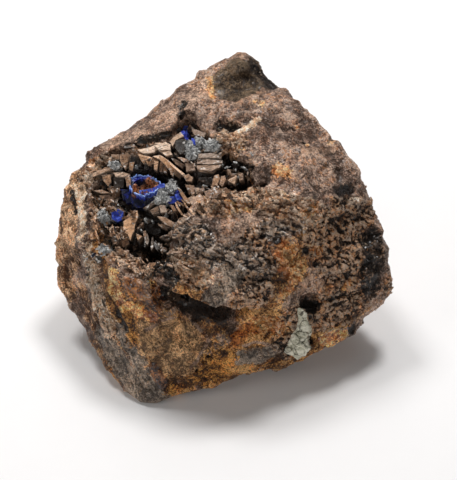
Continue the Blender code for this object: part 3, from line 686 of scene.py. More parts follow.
# How strongly painted shade goes into creases and hollows: on worn stone, less on the pale kinds.
painted_shade_weight = worn * (1.0 - 0.75 * pale_kinds)
# Where highlights are painted: on worn stone, away from black stone and painted shade.
painted_highlight_weight = worn * (1.0 - shares["black"].at_least(shares["hole_with_painted_shade"]).over(-0.3, 0.1))
# Thin pale threads of tan and orange: partly pale filaments of the stone, partly painted highlight along thin ridges.
colour = stone.mix((0.045 - thread).over(0.0, 0.035) * painted_highlight_weight * 0.75, colour, stone.mix(hue.over(0.45, 0.6), (0.62, 0.48, 0.37), (0.72, 0.40, 0.19)))
colour = stone.mix((0.5 - broad).over(0.0, 0.09) * 0.30 * (1.0 - 0.7 * pale_kinds), colour, (0.030, 0.015, 0.009))
colour = stone.mix((broad - 0.5).over(0.0, 0.09) * 0.35, colour, stone.mix(1.0, colour, (1.5, 1.45, 1.4), "MULTIPLY"))
colour = stone.mix((0.435 - speck).over(0.0, 0.03) * (0.25 + 0.25 * worn) * (1.0 - 0.6 * pale_kinds), colour, (0.030, 0.014, 0.008))
colour = stone.mix((speck - 0.565).over(0.0, 0.04) * 0.3, colour, stone.mix(1.0, colour, (1.9, 1.8, 1.7), "MULTIPLY"))
# Painted shade along the crease lines that the bump cuts.
colour = stone.mix((0.06 - crease).over(0.0, 0.05) * (0.6 + 0.3 * painted_shade_weight) * (1.0 - 0.35 * pale_kinds), colour, (0.020, 0.010, 0.006))
# Painted highlight: raised places are made paler.
colour = stone.mix(ridge.over(0.2, 0.9) * painted_highlight_weight * 0.65, colour, stone.mix(hue.over(0.45, 0.6), (0.66, 0.50, 0.38), (0.70, 0.40, 0.20)))
# Painted shade in small and broad hollows of the surface.
colour = stone.mix((0.0 - ridge).over(0.1, 0.9) * (0.3 + 0.6 * painted_shade_weight), colour, (0.014, 0.008, 0.005))
colour = stone.mix((0.0 - swell).over(0.2, 0.95) * (0.15 + 0.5 * painted_shade_weight), colour, (0.012, 0.007, 0.004))
colour = stone.mix((tone - 0.5).over(0.02, 0.5) * 0.8, colour, stone.mix(grain_red, (0.26, 0.14, 0.08), (0.52, 0.36, 0.25)))
colour = stone.mix((0.5 - tone).over(0.02, 0.5) * 0.92, colour, (0.012, 0.007, 0.004))

glossy = (shares["glass"].at_least(shares["amber"])).over(0.0, 0.3)
sparkle = grain_blue.over(0.84, 0.90) * (0.3 + 0.7 * worn)
satin = shares["silky"].at_least(shares["slate"]).at_least(shares["black"]).over(0.0, 0.4)
roughness = 0.50 - 0.14 * satin - 0.34 * glossy - 0.16 * grain_blue.over(0.6, 0.9) - 0.14 * sparkle
gloss = 0.06 + 0.26 * satin + 0.6 * glossy + 0.6 * sparkle
height = 0.45 * speck + 0.9 * crease.at_most(0.35) + 0.25 * grain_blue * (0.3 + worn) + 0.6 * mottle + 0.4 * flow * (0.4 + worn) + 0.3 * fibres * shares["streaky"].over(-0.2, 0.3)
normal = stone.node("ShaderNodeBump", {}, {"Height": height, "Strength": 1.0, "Distance": 0.001})
rock_finish = stone.finish(Base_Color=colour, Roughness=roughness, Normal=normal, Specular_IOR_Level=0.28,
                           Coat_Weight=gloss.clamped(), Coat_Roughness=0.22)
rock.data.materials.append(rock_finish)

# Loose-edged chips and flakes stand out of the skin where it is weathered to grit or to sheets.
CHIP_SIDES = 4
CHIPS = {
    "grit_chips": {"Where": "chipped", "Density": 0.9, "Smallest": (0.3, 0.25, 0.12), "Largest": (1.8, 0.9, 0.38),
                   "Lean": 0.7, "Seed": 3},
    "flakes": {"Where": "sheets", "Density": 0.7, "Smallest": (0.7, 0.5, 0.2), "Largest": (2.8, 1.4, 0.5),
               "Lean": 0.5, "Seed": 8},
}


class Nodes:
    """A tree of geometry nodes under construction, with named inputs."""

    def __init__(self, name, inputs):
        self.tree = bpy.data.node_groups.new(name, "GeometryNodeTree")
        self.tree.interface.new_socket("Geometry", in_out="INPUT", socket_type="NodeSocketGeometry")
        self.tree.interface.new_socket("Geometry", in_out="OUTPUT", socket_type="NodeSocketGeometry")
        for key, kind in inputs.items():
            self.tree.interface.new_socket(key, in_out="INPUT", socket_type="NodeSocket" + kind)
        self.given = self.tree.nodes.new("NodeGroupInput").outputs
        self.result = self.tree.nodes.new("NodeGroupOutput").inputs[0]

    def node(self, kind, settings, values, output=0):
        made = self.tree.nodes.new(kind)
        for key, value in settings.items():
            setattr(made, key, value)
        for key, value in values.items():
            if isinstance(value, bpy.types.NodeSocket):
                self.tree.links.new(value, made.inputs[key])
            else:
                made.inputs[key].default_value = value
        return made.outputs[output]

    def used_on(self, piece, values):
        """The plain mesh that the tree makes of the piece."""
        self.tree.links.new(self.last, self.result)
        modifier = piece.modifiers.new(self.tree.name, "NODES")
        modifier.node_group = self.tree
        sockets = {item.name: item for item in self.tree.interface.items_tree if item.in_out == "INPUT"}
        for key, value in values.items():
            modifier[sockets[key].identifier] = value
        bpy.context.view_layer.update()
        graph = bpy.context.evaluated_depsgraph_get()
        mesh = bpy.data.meshes.new_from_object(piece.evaluated_get(graph))
        piece.modifiers.remove(modifier)
        return mesh


def scatter(name, finish, top_share, sides):
    """Tapered pieces strewn over a surface, each with a tone of its own."""
    inputs = {"Where": "String", "Density": "Float", "Smallest": "Vector", "Largest": "Vector"}
    tree = Nodes(name, inputs | {"Lean": "Float", "Seed": "Int"})
    given = tree.given
    share = tree.node("GeometryNodeInputNamedAttribute", {"data_type": "FLOAT"}, {"Name": given["Where"]})
    density = tree.node("ShaderNodeMath", {"operation": "MULTIPLY"}, {0: share, 1: given["Density"]})
    strewn = tree.node(
        "GeometryNodeDistributePointsOnFaces", {}, {"Mesh": given["Geometry"], "Density": density, "Seed": given["Seed"]}
    )
    upright = strewn.node.outputs["Rotation"]
    least = tree.node("ShaderNodeVectorMath", {"operation": "SCALE"}, {0: (-1.0, -1.0, 0.0), 3: given["Lean"]})
    lean = tree.node("ShaderNodeVectorMath", {"operation": "SCALE"}, {0: (1.0, 1.0, 0.0), 3: given["Lean"]})
    most = tree.node("ShaderNodeVectorMath", {"operation": "ADD"}, {0: lean, 1: (0.0, 0.0, math.tau)})
    random_kind = {"data_type": "FLOAT_VECTOR"}
    turn = tree.node("FunctionNodeRandomValue", random_kind, {0: least, 1: most, 8: given["Seed"]})
    turn = tree.node("FunctionNodeEulerToRotation", {}, {0: turn})
    turned = tree.node("FunctionNodeRotateRotation", {"rotation_space": "LOCAL"}, {0: upright, 1: turn})
    size = tree.node(
        "FunctionNodeRandomValue", random_kind, {0: given["Smallest"], 1: given["Largest"], 8: given["Seed"]}
    )
    shape = tree.node(
        "GeometryNodeMeshCone", {}, {"Vertices": sides, "Radius Top": 0.5 * top_share, "Radius Bottom": 0.5, "Depth": 1.0}
    )
    shape = tree.node("GeometryNodeTransform", {}, {"Geometry": shape, "Translation": (0.0, 0.0, -0.3)})
    strewn = tree.node(
        "GeometryNodeInstanceOnPoints", {}, {"Points": strewn, "Instance": shape, "Rotation": turned, "Scale": size}
    )
    tone = tree.node("FunctionNodeRandomValue", {"data_type": "FLOAT"}, {2: 0.0, 3: 1.0, 8: 77}, 1)
    store = {"data_type": "FLOAT", "domain": "INSTANCE"}
    strewn = tree.node("GeometryNodeStoreNamedAttribute", store, {"Geometry": strewn, "Name": "tone", "Value": tone})
    strewn = tree.node("GeometryNodeRealizeInstances", {}, {"Geometry": strewn})
    tree.last = tree.node("GeometryNodeSetMaterial", {}, {"Geometry": strewn, "Material": finish})
    return tree


chip_tree = scatter("chips", rock_finish, 0.6, CHIP_SIDES)
for name, values in CHIPS.items():
    mesh = chip_tree.used_on(rock, values)
    mesh.name = name
    mesh.transform(Matrix.Scale(MM, 4))
    mesh.polygons.foreach_set("use_smooth", [False] * len(mesh.polygons))
    strewn = bpy.data.objects.new(name, mesh)
    bpy.context.scene.collection.objects.link(strewn)
    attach(strewn, "root")
rock_tree = tree_of(rock.data)
rock.data.transform(Matrix.Scale(MM, 4))
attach(rock, "root")
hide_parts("rock")


# ---------------------------------------------------------------------------------------------
# The calcite in the hollow. Brown plates and rhombs grow edge to edge over a sugary lining that
# is painted dark with shade deep down, with a comb of teeth behind the azurite. It grew there,
# so nothing fixes it.

LINING_CELL = 0.3
# The hollow's rim in millimetres, and the way that the hollow goes in.
HOLLOW_RIM = [
    (-33, 13.1, 39.6), (-25.9, 15.2, 43.9), (-14.7, 14.8, 48.8), (-12.2, 21.7, 49.8), (-7, 15.7, 50.9),
    (-3.3, 13.2, 50.8), (2.3, 13.3, 51.6), (2.8, 6.1, 49.3), (6.3, -3.6, 46.2), (-1.6, -3.4, 45.7),
    (-6.8, -6.6, 43.9), (-13.4, -12.8, 39.2), (-21.1, -15.2, 31.9), (-31.3, -8.8, 28.6), (-34.9, 4, 34),
]
INTO = Vector((0.27, 0.26, -0.93)).normalized()
FRONT = Vector((0.0, -0.64, 0.77))
TOP = Vector((-0.15, -0.35, 0.92)).normalized()
ON_ROCK = 9.0
# A crystal's face looks along facing. It lies this far in millimetres below the hollow's mouth, or
# on the rock. Its tone runs from 0, dark, to 1, pale, and its warmth from -1, grey, to 1, orange.
# The corners of the face are in pixels of the view.
Shard = namedtuple("Shard", "facing sink tone warmth corners")
SHARDS = {
    "ledge": [
        Shard(TOP, 0.5, 0.6, -0.1, [
            (125.8, 150.8), (137.2, 150.1), (144.7, 152.7), (142.4, 155.4), (134.4, 154.7),
        ]),
        Shard(TOP, 0.5, 0.6, -0.2, [
            (137.2, 150.1), (153.9, 145.5), (158.5, 147.8), (153.9, 151.9), (145.3, 154),
        ]),
        Shard(TOP, 0.4, 0.7, -0.2, [
            (153.9, 145.5), (165.4, 141.8), (170.9, 144.7), (170.2, 149.6), (158.5, 150.4),
        ]),
        Shard(FRONT, 0.4, 0.75, 0.1, [
            (169.4, 141.8), (174, 136.1), (180.3, 132.1), (183.7, 136.1), (175.7, 140.1), (172.5, 147),
        ]),
        Shard(TOP, 0.8, 0.6, -0.2, [(158.5, 150.1), (170.2, 150.1), (172.3, 154.4), (165.4, 155.8)]),
    ],
    "comb": [
        Shard(FRONT, 0.9, 0.7, 0.7, [
            (158.5, 155), (164.2, 157.9), (173.4, 165.9), (183.2, 174), (180.9, 179.7), (173.4, 174),
            (165.4, 165.4), (160.2, 160.2),
        ]),
        Shard(TOP, 0.7, 0.85, 0.4, [
            (152.7, 155.8), (159.6, 154.4), (167.7, 159.6), (176.8, 167.6), (184.7, 174), (182.8, 175.1),
            (173.4, 167.3), (164.2, 159.6),
        ]),
        Shard(FRONT, 1.2, 0.5, 0.8, [
            (138, 154.4), (145.3, 157), (148.7, 159.6), (147.9, 166.2), (144.1, 164.5), (140.3, 159.6),
        ]),
        Shard(FRONT, 1.3, 0.6, 0.6, [(144.7, 158.5), (151, 158.5), (151.6, 165.4), (147.9, 165.9)]),
        Shard(FRONT, 1.3, 0.7, 0.6, [(151.9, 157), (155.3, 159.6), (154.6, 164.2), (151.4, 163.6)]),
        Shard(FRONT, 1.1, 0.65, 0.5, [(153.7, 160), (158.5, 161.6), (157.1, 170.5), (153.9, 169.6)]),
        Shard(FRONT, 1.1, 0.6, 0.5, [(159.9, 161.1), (163.3, 163.4), (162.2, 171.9), (159.2, 171.1)]),
        Shard(FRONT, 1.1, 0.65, 0.4, [(163.5, 164.5), (167.9, 166.2), (166.7, 173), (163.5, 171.9)]),
        Shard(FRONT, 1.2, 0.5, 0.7, [(169.4, 168.8), (174, 171.7), (173.4, 176.3), (170.2, 174)]),
        Shard(TOP, 0.8, 0.8, 0.5, [
            (136.7, 153.5), (149.3, 156.5), (158.5, 159.6), (158.5, 161.6), (149.3, 159), (139, 155.8),
        ]),
        Shard(FRONT, 0.6, 0.55, 0.2, [
            (183.2, 175.1), (188.3, 174), (193.5, 177.4), (191.8, 182), (186, 180.8),
        ]),
    ],
    "rhombs": [
        Shard(FRONT, 0.8, 0.5, 0.3, [
            (119.4, 154.4), (129.2, 154.4), (128.4, 164.2), (125.4, 170.5), (121.5, 164.8),
            (119.4, 159.6),
        ]),
        Shard(FRONT, 0.8, 0.5, 0.5, [(129.5, 162.5), (134.6, 161.7), (132.8, 170.5), (129.3, 169.6)]),
        Shard(FRONT, 0.5, 0.45, -0.2, [(110.8, 154.4), (119.4, 154.4), (119.2, 159.6), (112.6, 160.2)]),
        Shard(TOP, 0.5, 0.6, 0, [(102.2, 159.6), (110.8, 156.5), (112.6, 160.4), (105.7, 163.6)]),
    ],
    "left cluster": [
        Shard(FRONT, 0.3, 0.65, -0.8, [
            (108, 161.6), (118.3, 160.8), (121.5, 165.9), (118.5, 168.8), (109.3, 165.9),
        ]),
        Shard(TOP, 0.3, 0.7, 0.1, [
            (89.6, 174.9), (97.6, 170.5), (112.6, 166.5), (113.9, 168.8), (98.2, 174.5), (91, 178.6),
        ]),
        Shard(FRONT, 0.7, 0.55, 0.5, [
            (101.6, 175.1), (110.8, 174.5), (111.6, 182), (108.3, 186.8), (102.5, 180.3),
        ]),
        Shard(TOP, 0.4, 0.75, -0.1, [
            (112.6, 172.8), (122.9, 171.7), (130.4, 174), (128.9, 176.8), (115.1, 176.3),
        ]),
        Shard(FRONT, 0.7, 0.55, 0.3, [(125.2, 177.4), (130.4, 176.9), (131.2, 185.4), (126.9, 186.8)]),
        Shard(FRONT, 1.2, 0.12, 0, [(113.1, 177.4), (124, 177.4), (124, 187.7), (113.7, 187.7)]),
        Shard(TOP, 0.3, 0.65, 0, [(91.9, 190.3), (102.2, 189.5), (111.6, 193.5), (101.6, 193.1)]),
        Shard(FRONT, 0.4, 0.5, 0.3, [
            (98.8, 195.2), (108.5, 194.6), (115.1, 199.4), (113.7, 204), (107, 200.6), (100.2, 198.1),
        ]),
        Shard(FRONT, 0.6, 0.35, 0.2, [(108, 199.2), (114.9, 202.7), (112, 207.3), (108.5, 205)]),
        Shard(FRONT, 0.4, 0.6, 0.3, [(88.4, 182), (93.6, 184.3), (93, 190), (88.4, 188.9)]),
        Shard(TOP, 0.2, 0.6, 0.8, [(86.1, 165.4), (95.3, 160.8), (98.8, 163.6), (91.9, 168.8)]),
        Shard(FRONT, 0.4, 0.45, 0.6, [(87.3, 191.2), (91.9, 193.5), (92.1, 200.4), (87.3, 202.7)]),
    ],
    "wedge": [
        Shard(FRONT, 0.6, 0.35, -0.7, [
            (165.4, 184.3), (171.1, 179.1), (175.9, 184.3), (177.1, 193.5), (165.4, 194.6),
        ]),
        Shard(FRONT, 0.5, 0.45, -0.7, [
            (158.5, 188.9), (165.4, 188.9), (172.3, 194.6), (170, 203.8), (163.1, 202.7), (155, 199.2),
        ]),
        Shard(FRONT, 0.5, 0.32, -0.4, [
            (143, 208.4), (153.9, 200.4), (164.2, 188.9), (165.4, 193.5), (156.2, 202.7), (147, 210.1),
        ]),
        Shard(FRONT, 0.2, 0.95, -0.8, [(155.3, 199.2), (159.9, 198.3), (161, 202.7), (156.4, 202.9)]),
        Shard(FRONT, 0.4, 0.5, -0.6, [(158.5, 205), (165.4, 205), (167.1, 211.8), (160.8, 213)]),
        Shard(FRONT, 0.4, 0.35, -0.3, [(149.3, 210.7), (158.5, 205.5), (159.6, 213), (152.7, 214.1)]),
    ],
    "slender plates": [
        Shard(FRONT, 0.2, 0.7, 0.6, [
            (177.4, 187.7), (181.2, 188.9), (191.2, 204.4), (188.9, 205.9), (182.6, 198.1),
        ]),
        Shard(FRONT, 0.3, 0.5, 0, [(184.9, 184.3), (188.9, 185.4), (192.3, 192.9), (188.9, 194.6)]),
        Shard(FRONT, 0.2, 0.65, 0.5, [(181.2, 199.2), (184, 200.9), (188.9, 208.4), (187.2, 209)]),
        Shard(FRONT, 0.2, 0.6, 0.4, [(175.7, 206.7), (178.6, 207.8), (183.5, 214.4), (181.7, 215.5)]),
        Shard(FRONT, 0.3, 0.5, 0.5, [(169.4, 205), (173.4, 205), (176.8, 210.7), (173.4, 211.8)]),
        Shard(FRONT, 0.4, 0.3, 0.2, [(188.9, 184.3), (194.1, 185.4), (195.2, 193.5), (191.8, 194.6)]),
    ],
    "stack": [
        Shard(TOP, 0.4, 0.55, -0.6, [
            (198.1, 153.5), (211.3, 152.5), (221.9, 155.4), (221.6, 158.5), (205.6, 157.9),
            (198.1, 157.9),
        ]),
        Shard(TOP, 0.5, 0.5, -0.5, [
            (196.9, 159.6), (206.7, 158.7), (222.4, 160.2), (222.2, 163.1), (209, 164.4), (196.9, 163.9),
        ]),
        Shard(TOP, 0.6, 0.5, -0.35, [
            (196.9, 165.1), (209, 165), (221.6, 164.4), (220.2, 167.3), (211.3, 171.1), (197.5, 169.4),
        ]),
        Shard(FRONT, 1, 0.3, -0.3, [(197.3, 157.9), (221.6, 158.5), (221.6, 160.2), (197.3, 159.8)]),
        Shard(FRONT, 1, 0.35, -0.2, [
            (197.3, 169.4), (211.3, 171.3), (217, 169.4), (213.6, 173.4), (198.7, 171.7),
        ]),
    ],
    "pairs": [
        Shard(FRONT, 0.2, 0.6, 0.4, [
            (211.9, 182.2), (214.7, 175.1), (218.4, 174), (220.5, 178.8), (217, 184.3), (212.4, 186.6),
        ]),
        Shard(FRONT, 0.2, 0.6, 0.4, [
            (221.1, 176.3), (224.8, 175.1), (226, 179.7), (222.2, 186.8), (219.3, 184.3),
        ]),
        Shard(FRONT, 0.3, 0.65, 0.2, [
            (227.4, 179.7), (236, 175.1), (237.1, 176.5), (234.5, 184.3), (229.9, 182.2),
        ]),
        Shard(FRONT, 0.3, 0.5, -0.3, [(238.8, 174), (242.9, 173), (243.4, 179.7), (239.4, 180.8)]),
        Shard(FRONT, ON_ROCK, 0.65, 0.7, [
            (223.3, 188.9), (226, 187.2), (233.3, 193.7), (237.7, 202.9), (228.5, 202.9), (223.9, 195.2),
        ]),
        Shard(TOP, ON_ROCK, 0.5, 0.6, [
            (203.8, 191.4), (214.7, 186.6), (221.9, 191.4), (217, 198.3), (206.5, 198.3),
        ]),
        Shard(TOP, ON_ROCK, 0.45, 0.3, [
            (188.3, 199.2), (199.8, 193.5), (206.7, 199.2), (199.8, 205), (191.8, 205),
        ]),
    ],
    "upper druse": [
        Shard(FRONT, 0.8, 0.15, -0.6, [
            (175.7, 139.5), (186, 138.9), (186.6, 152.1), (180.3, 154.4), (175.1, 147.6),
        ]),
        Shard(FRONT, 0.5, 0.5, -0.8, [
            (186.3, 141.8), (191.2, 139.5), (195.8, 145.3), (195.8, 159.6), (188.3, 160.2), (186, 152.1),
        ]),
        Shard(FRONT, 0.4, 0.5, -0.8, [(191.2, 147.6), (199.8, 146.4), (198.7, 154.4), (191.8, 155.6)]),
        Shard(FRONT, 0.3, 0.55, -0.8, [
            (204.4, 140.7), (213.6, 138.4), (221.6, 146.4), (217, 152.1), (206.7, 151),
        ]),
        Shard(FRONT, 1, 0.12, -0.2, [
            (171.1, 157.9), (176.8, 159.6), (184.9, 164.8), (182.6, 168.2), (175.7, 163.6),
        ]),
        Shard(TOP, 0.6, 0.55, 0.7, [(177.4, 156.7), (184.9, 157.9), (190.1, 161.3), (183.7, 161.9)]),
        Shard(FRONT, ON_ROCK, 0.2, -0.3, [(173.4, 129.2), (180.3, 126.9), (182, 131.5), (175.7, 132.6)]),
        Shard(FRONT, ON_ROCK, 0.8, -0.1, [(190.6, 123.4), (198.7, 122.3), (199.8, 126.9), (191.8, 129.2)]),
        Shard(FRONT, 0.3, 0.4, -0.6, [(191.8, 128), (206.7, 132.6), (204.4, 137.2), (194.1, 134.9)]),
        Shard(FRONT, 0.4, 0.3, -0.7, [(195.2, 137.2), (203.3, 137.2), (204.4, 145.8), (196.4, 146.4)]),
        Shard(FRONT, 0.9, 0.25, -0.5, [(184.9, 163.6), (195.2, 162.5), (195.2, 170.5), (186, 171.7)]),
    ],
    "tall blade": [
        Shard(FRONT, 0.2, 0.75, 0.7, [
            (133, 210.9), (137.2, 210.1), (138.7, 215.3), (135.7, 223.3), (134.4, 230.8), (130, 240.6),
            (127.5, 234.8), (122.9, 230.4), (123.1, 221), (128.9, 217.6),
        ]),
        Shard(FRONT, 0.4, 0.6, 0.6, [(135.5, 233.1), (142.4, 236), (138, 240.8)]),
        Shard(FRONT, 0.5, 0.35, 0.5, [(124.6, 223.3), (129.2, 223.9), (127.7, 232.5), (124, 230.2)]),
        Shard(FRONT, 0.3, 0.6, 0.2, [
            (157.3, 216.4), (165.4, 217), (175.7, 223.9), (172.3, 227.9), (164.2, 223.3),
        ]),
        Shard(FRONT, 3, 0.5, -0.4, [(145.3, 219.9), (152.2, 219), (153.9, 222.2), (147.6, 223.3)]),
    ],
    "lower left": [
        Shard(FRONT, 0.3, 0.65, -0.8, [
            (97.4, 211.8), (102.2, 208.4), (108, 211.8), (109.9, 219.9), (104.7, 222.4), (99, 217.8),
        ]),
        Shard(FRONT, ON_ROCK, 0.65, 0.7, [(102.2, 223.3), (108, 222.8), (109.7, 229.1), (105.1, 230.2)]),
        Shard(FRONT, ON_ROCK, 0.6, 0.7, [(108.5, 223.9), (113.7, 223.3), (115.1, 230.2), (110.8, 231.9)]),
        Shard(FRONT, ON_ROCK, 0.6, 0.8, [(96.5, 229.1), (102.2, 227.9), (105.1, 234.8), (99.9, 236)]),
        Shard(FRONT, ON_ROCK, 0.65, 0.5, [(109.1, 233.1), (117.1, 231.9), (119.4, 237.1), (112.6, 238.8)]),
        Shard(FRONT, ON_ROCK, 0.5, 0.8, [(105.7, 239.4), (114.9, 240.6), (113.7, 246.3), (108, 245.1)]),
        Shard(FRONT, ON_ROCK, 0.65, 0.6, [(91.9, 223.3), (97.6, 222.2), (98.8, 227.9), (93.6, 229.1)]),
        Shard(FRONT, ON_ROCK, 0.2, 0.6, [(119.4, 234.8), (127.5, 236), (129.8, 244), (122.9, 247.4)]),
        Shard(FRONT, ON_ROCK, 0.2, 0.6, [(114.9, 246.3), (122.9, 248.6), (124, 255.5), (117.1, 254.3)]),
        Shard(FRONT, ON_ROCK, 0.7, -0.7, [
            (94.2, 245.7), (102.2, 244), (109.1, 247.4), (113.1, 253.2), (105.7, 255.5), (96.5, 253.2),
        ]),
        Shard(FRONT, ON_ROCK, 0.1, -0.2, [(94.2, 255.5), (102.2, 256.6), (103.4, 262.4), (96.5, 263.5)]),
        Shard(TOP, ON_ROCK, 0.7, 0.4, [(89.6, 217.6), (95.3, 215.3), (97.1, 219.9), (91.9, 222.2)]),
        Shard(FRONT, ON_ROCK, 0.6, 0.6, [(89.6, 232.5), (94.8, 231.4), (95.3, 239.4), (90.7, 239.4)]),
        Shard(FRONT, ON_ROCK, 0.55, 0.7, [(104.5, 257.8), (112.6, 255.5), (114.9, 262.4), (108, 264.7)]),
    ],
    "below the pit": [
        Shard(FRONT, ON_ROCK, 0.65, 0.3, [(129.8, 255.5), (134.4, 250.9), (139, 256.6), (133.2, 258.9)]),
        Shard(FRONT, ON_ROCK, 0.6, 0.2, [(145.8, 256.6), (147.6, 255.5), (148.7, 263.5), (146.4, 263.5)]),
        Shard(FRONT, ON_ROCK, 0.6, 0.6, [(149.3, 262.4), (156.2, 262.4), (155, 269.3), (150.4, 268.1)]),
        Shard(TOP, ON_ROCK, 0.7, -0.2, [
            (158.5, 233.7), (168.8, 229.1), (175.7, 227.9), (172.3, 234.8), (161.9, 238.3),
        ]),
        Shard(FRONT, ON_ROCK, 0.45, -0.6, [(159.6, 238.3), (165.4, 239.4), (167.7, 244), (160.8, 245.1)]),
    ],
}
# Rows of slivers: the line they stand on, how many, their length and slant in pixels and radians.
Fan = namedtuple("Fan", "line count size lean tone warmth")
SLIVERS = [
    Fan([(88, 172), (124, 166)], 12, 6.0, -0.3, 0.6, 0.4), Fan([(90, 196), (112, 204)], 10, 6.0, 0.5, 0.5, 0.4),
    Fan([(92, 208), (98, 235)], 16, 6.0, 1.0, 0.75, 1.3), Fan([(104, 215), (120, 240)], 16, 6.0, 1.2, 0.48, 1.3),
    Fan([(100, 240), (118, 262)], 16, 5.0, 0.9, 0.48, 1.3), Fan([(112, 200), (124, 214)], 6, 5.0, 0.7, 0.4, 0.3),
    Fan([(178, 206), (196, 200)], 10, 7.0, 0.8, 0.6, 0.5), Fan([(196, 192), (222, 186)], 12, 6.0, 0.9, 0.6, 0.5),
    Fan([(184, 216), (214, 208)], 14, 7.0, 0.6, 0.6, 0.5), Fan([(214, 200), (246, 192)], 16, 6.0, 0.5, 0.65, 0.6),
    Fan([(160, 226), (200, 222)], 16, 8.0, 0.35, 0.5, 0.2), Fan([(160, 238), (196, 232)], 14, 7.0, -0.3, 0.5, 0.0),
    Fan([(224, 150), (250, 158)], 14, 5.0, 0.2, 0.6, 0.7), Fan([(214, 132), (240, 146)], 14, 5.0, 0.3, 0.6, 0.6),
    Fan([(126, 148), (146, 150)], 8, 6.0, 0.1, 0.6, 0.2), Fan([(150, 146), (170, 143)], 8, 6.0, -0.2, 0.7, 0.1),
    Fan([(176, 154), (200, 168)], 10, 5.0, 0.6, 0.35, 0.0), Fan([(194, 150), (222, 152)], 10, 5.0, -0.3, 0.5, -0.3),
    Fan([(150, 212), (172, 210)], 8, 6.0, -0.5, 0.4, 0.2), Fan([(132, 256), (150, 262)], 8, 5.0, 1.1, 0.5, 0.4),
    Fan([(142, 236), (162, 250)], 8, 9.0, 1.3, 0.12, -0.2), Fan([(118, 262), (150, 276)], 14, 5.0, 0.8, 0.7, 0.6),
    Fan([(155, 262), (196, 268)], 14, 6.0, 0.6, 0.6, 0.4), Fan([(160, 250), (196, 256)], 12, 7.0, 0.0, 0.5, 0.1),
]
CLEAR_BELOW = -0.65
# Single clear grains given the palest tone as painted glints, in pixels.
GLINTS = [
    (227, 167), (236.5, 162.5), (235.5, 169.5), (251, 153.5), (240, 176), (229, 173), (222, 164), (244, 167),
    (203.5, 185.5), (200.5, 142.5), (208.5, 144.5), (204, 150), (196.5, 146), (214, 149), (198, 158),
    (114, 213), (119, 211), (121, 216), (113, 219), (146, 219), (152, 221), (141, 230), (171, 193), (163, 202), (166, 214), (136, 166), (118, 205),
]
ROCK_GLINTS = [(148, 281.5), (96, 249), (99, 252), (101, 256), (93, 254), (86, 259)]
# Where the lining is painted black as shade between the crystals, each with its reach and line in pixels.
GAPS = [
    Patch(6.0, [(134, 161), (154, 175)]), Patch(5.0, [(156, 171), (172, 180)]),
    Patch(3.5, [(139, 141), (170, 135)]), Patch(6.5, [(222, 158), (246, 170)]),
    Patch(5.0, [(192, 173), (214, 180)]), Patch(5.0, [(186, 178), (206, 188)]),
    Patch(10.0, [(138, 236), (156, 250)]), Patch(5.0, [(94, 178), (108, 184)]),
]

crust = regridded(copied("calcite_crust", "calcite_crust_body"), LINING_CELL, 0)
lining_places = places_of(crust.data)
lining_normals = normals_of(crust.data)
sugar, _ = chips(lining_places, 0.8, (1, 1, 1), 3.0)
lining_places += lining_normals * (0.14 * sugar + 0.1 * cloudy(lining_places, 1.4, 3, 2.0))[:, None]
crust.data.vertices.foreach_set("co", lining_places.ravel())
crust.data.update()
lining_tree = tree_of(crust.data)
pick = random.Random(11)


def below_mouth(places):
    """How far each place lies below the hollow's mouth, along the way in."""
    rim = np.array(HOLLOW_RIM, float)
    into = np.array(INTO)
    apart = places[:, None, :] - rim[None, :, :]
    along = apart @ into
    aside = (apart**2).sum(2) - along**2
    pull = 1 / (aside + 1) ** 2
    return (along * pull).sum(1) / pull.sum(1)


def pixels_of(places):
    """Where each place shows in the view, in pixels."""
    away = places - np.array(EYE)
    far = away @ -np.array(BACKWARD)
    across = VIEW_WIDE / 2 + FOCUS * away[:, 0] / far
    return np.stack([across, VIEW_HIGH / 2 - FOCUS * (away @ np.array(UPWARD)) / far], 1)


def wall_distance(start, way, trees):
    """How far from a place the nearest surface lies along a way, and 1000 where there is none."""
    hits = [tree.ray_cast(start, way) for tree in trees]
    return min([hit[3] for hit in hits if hit[0] is not None], default=1000.0)


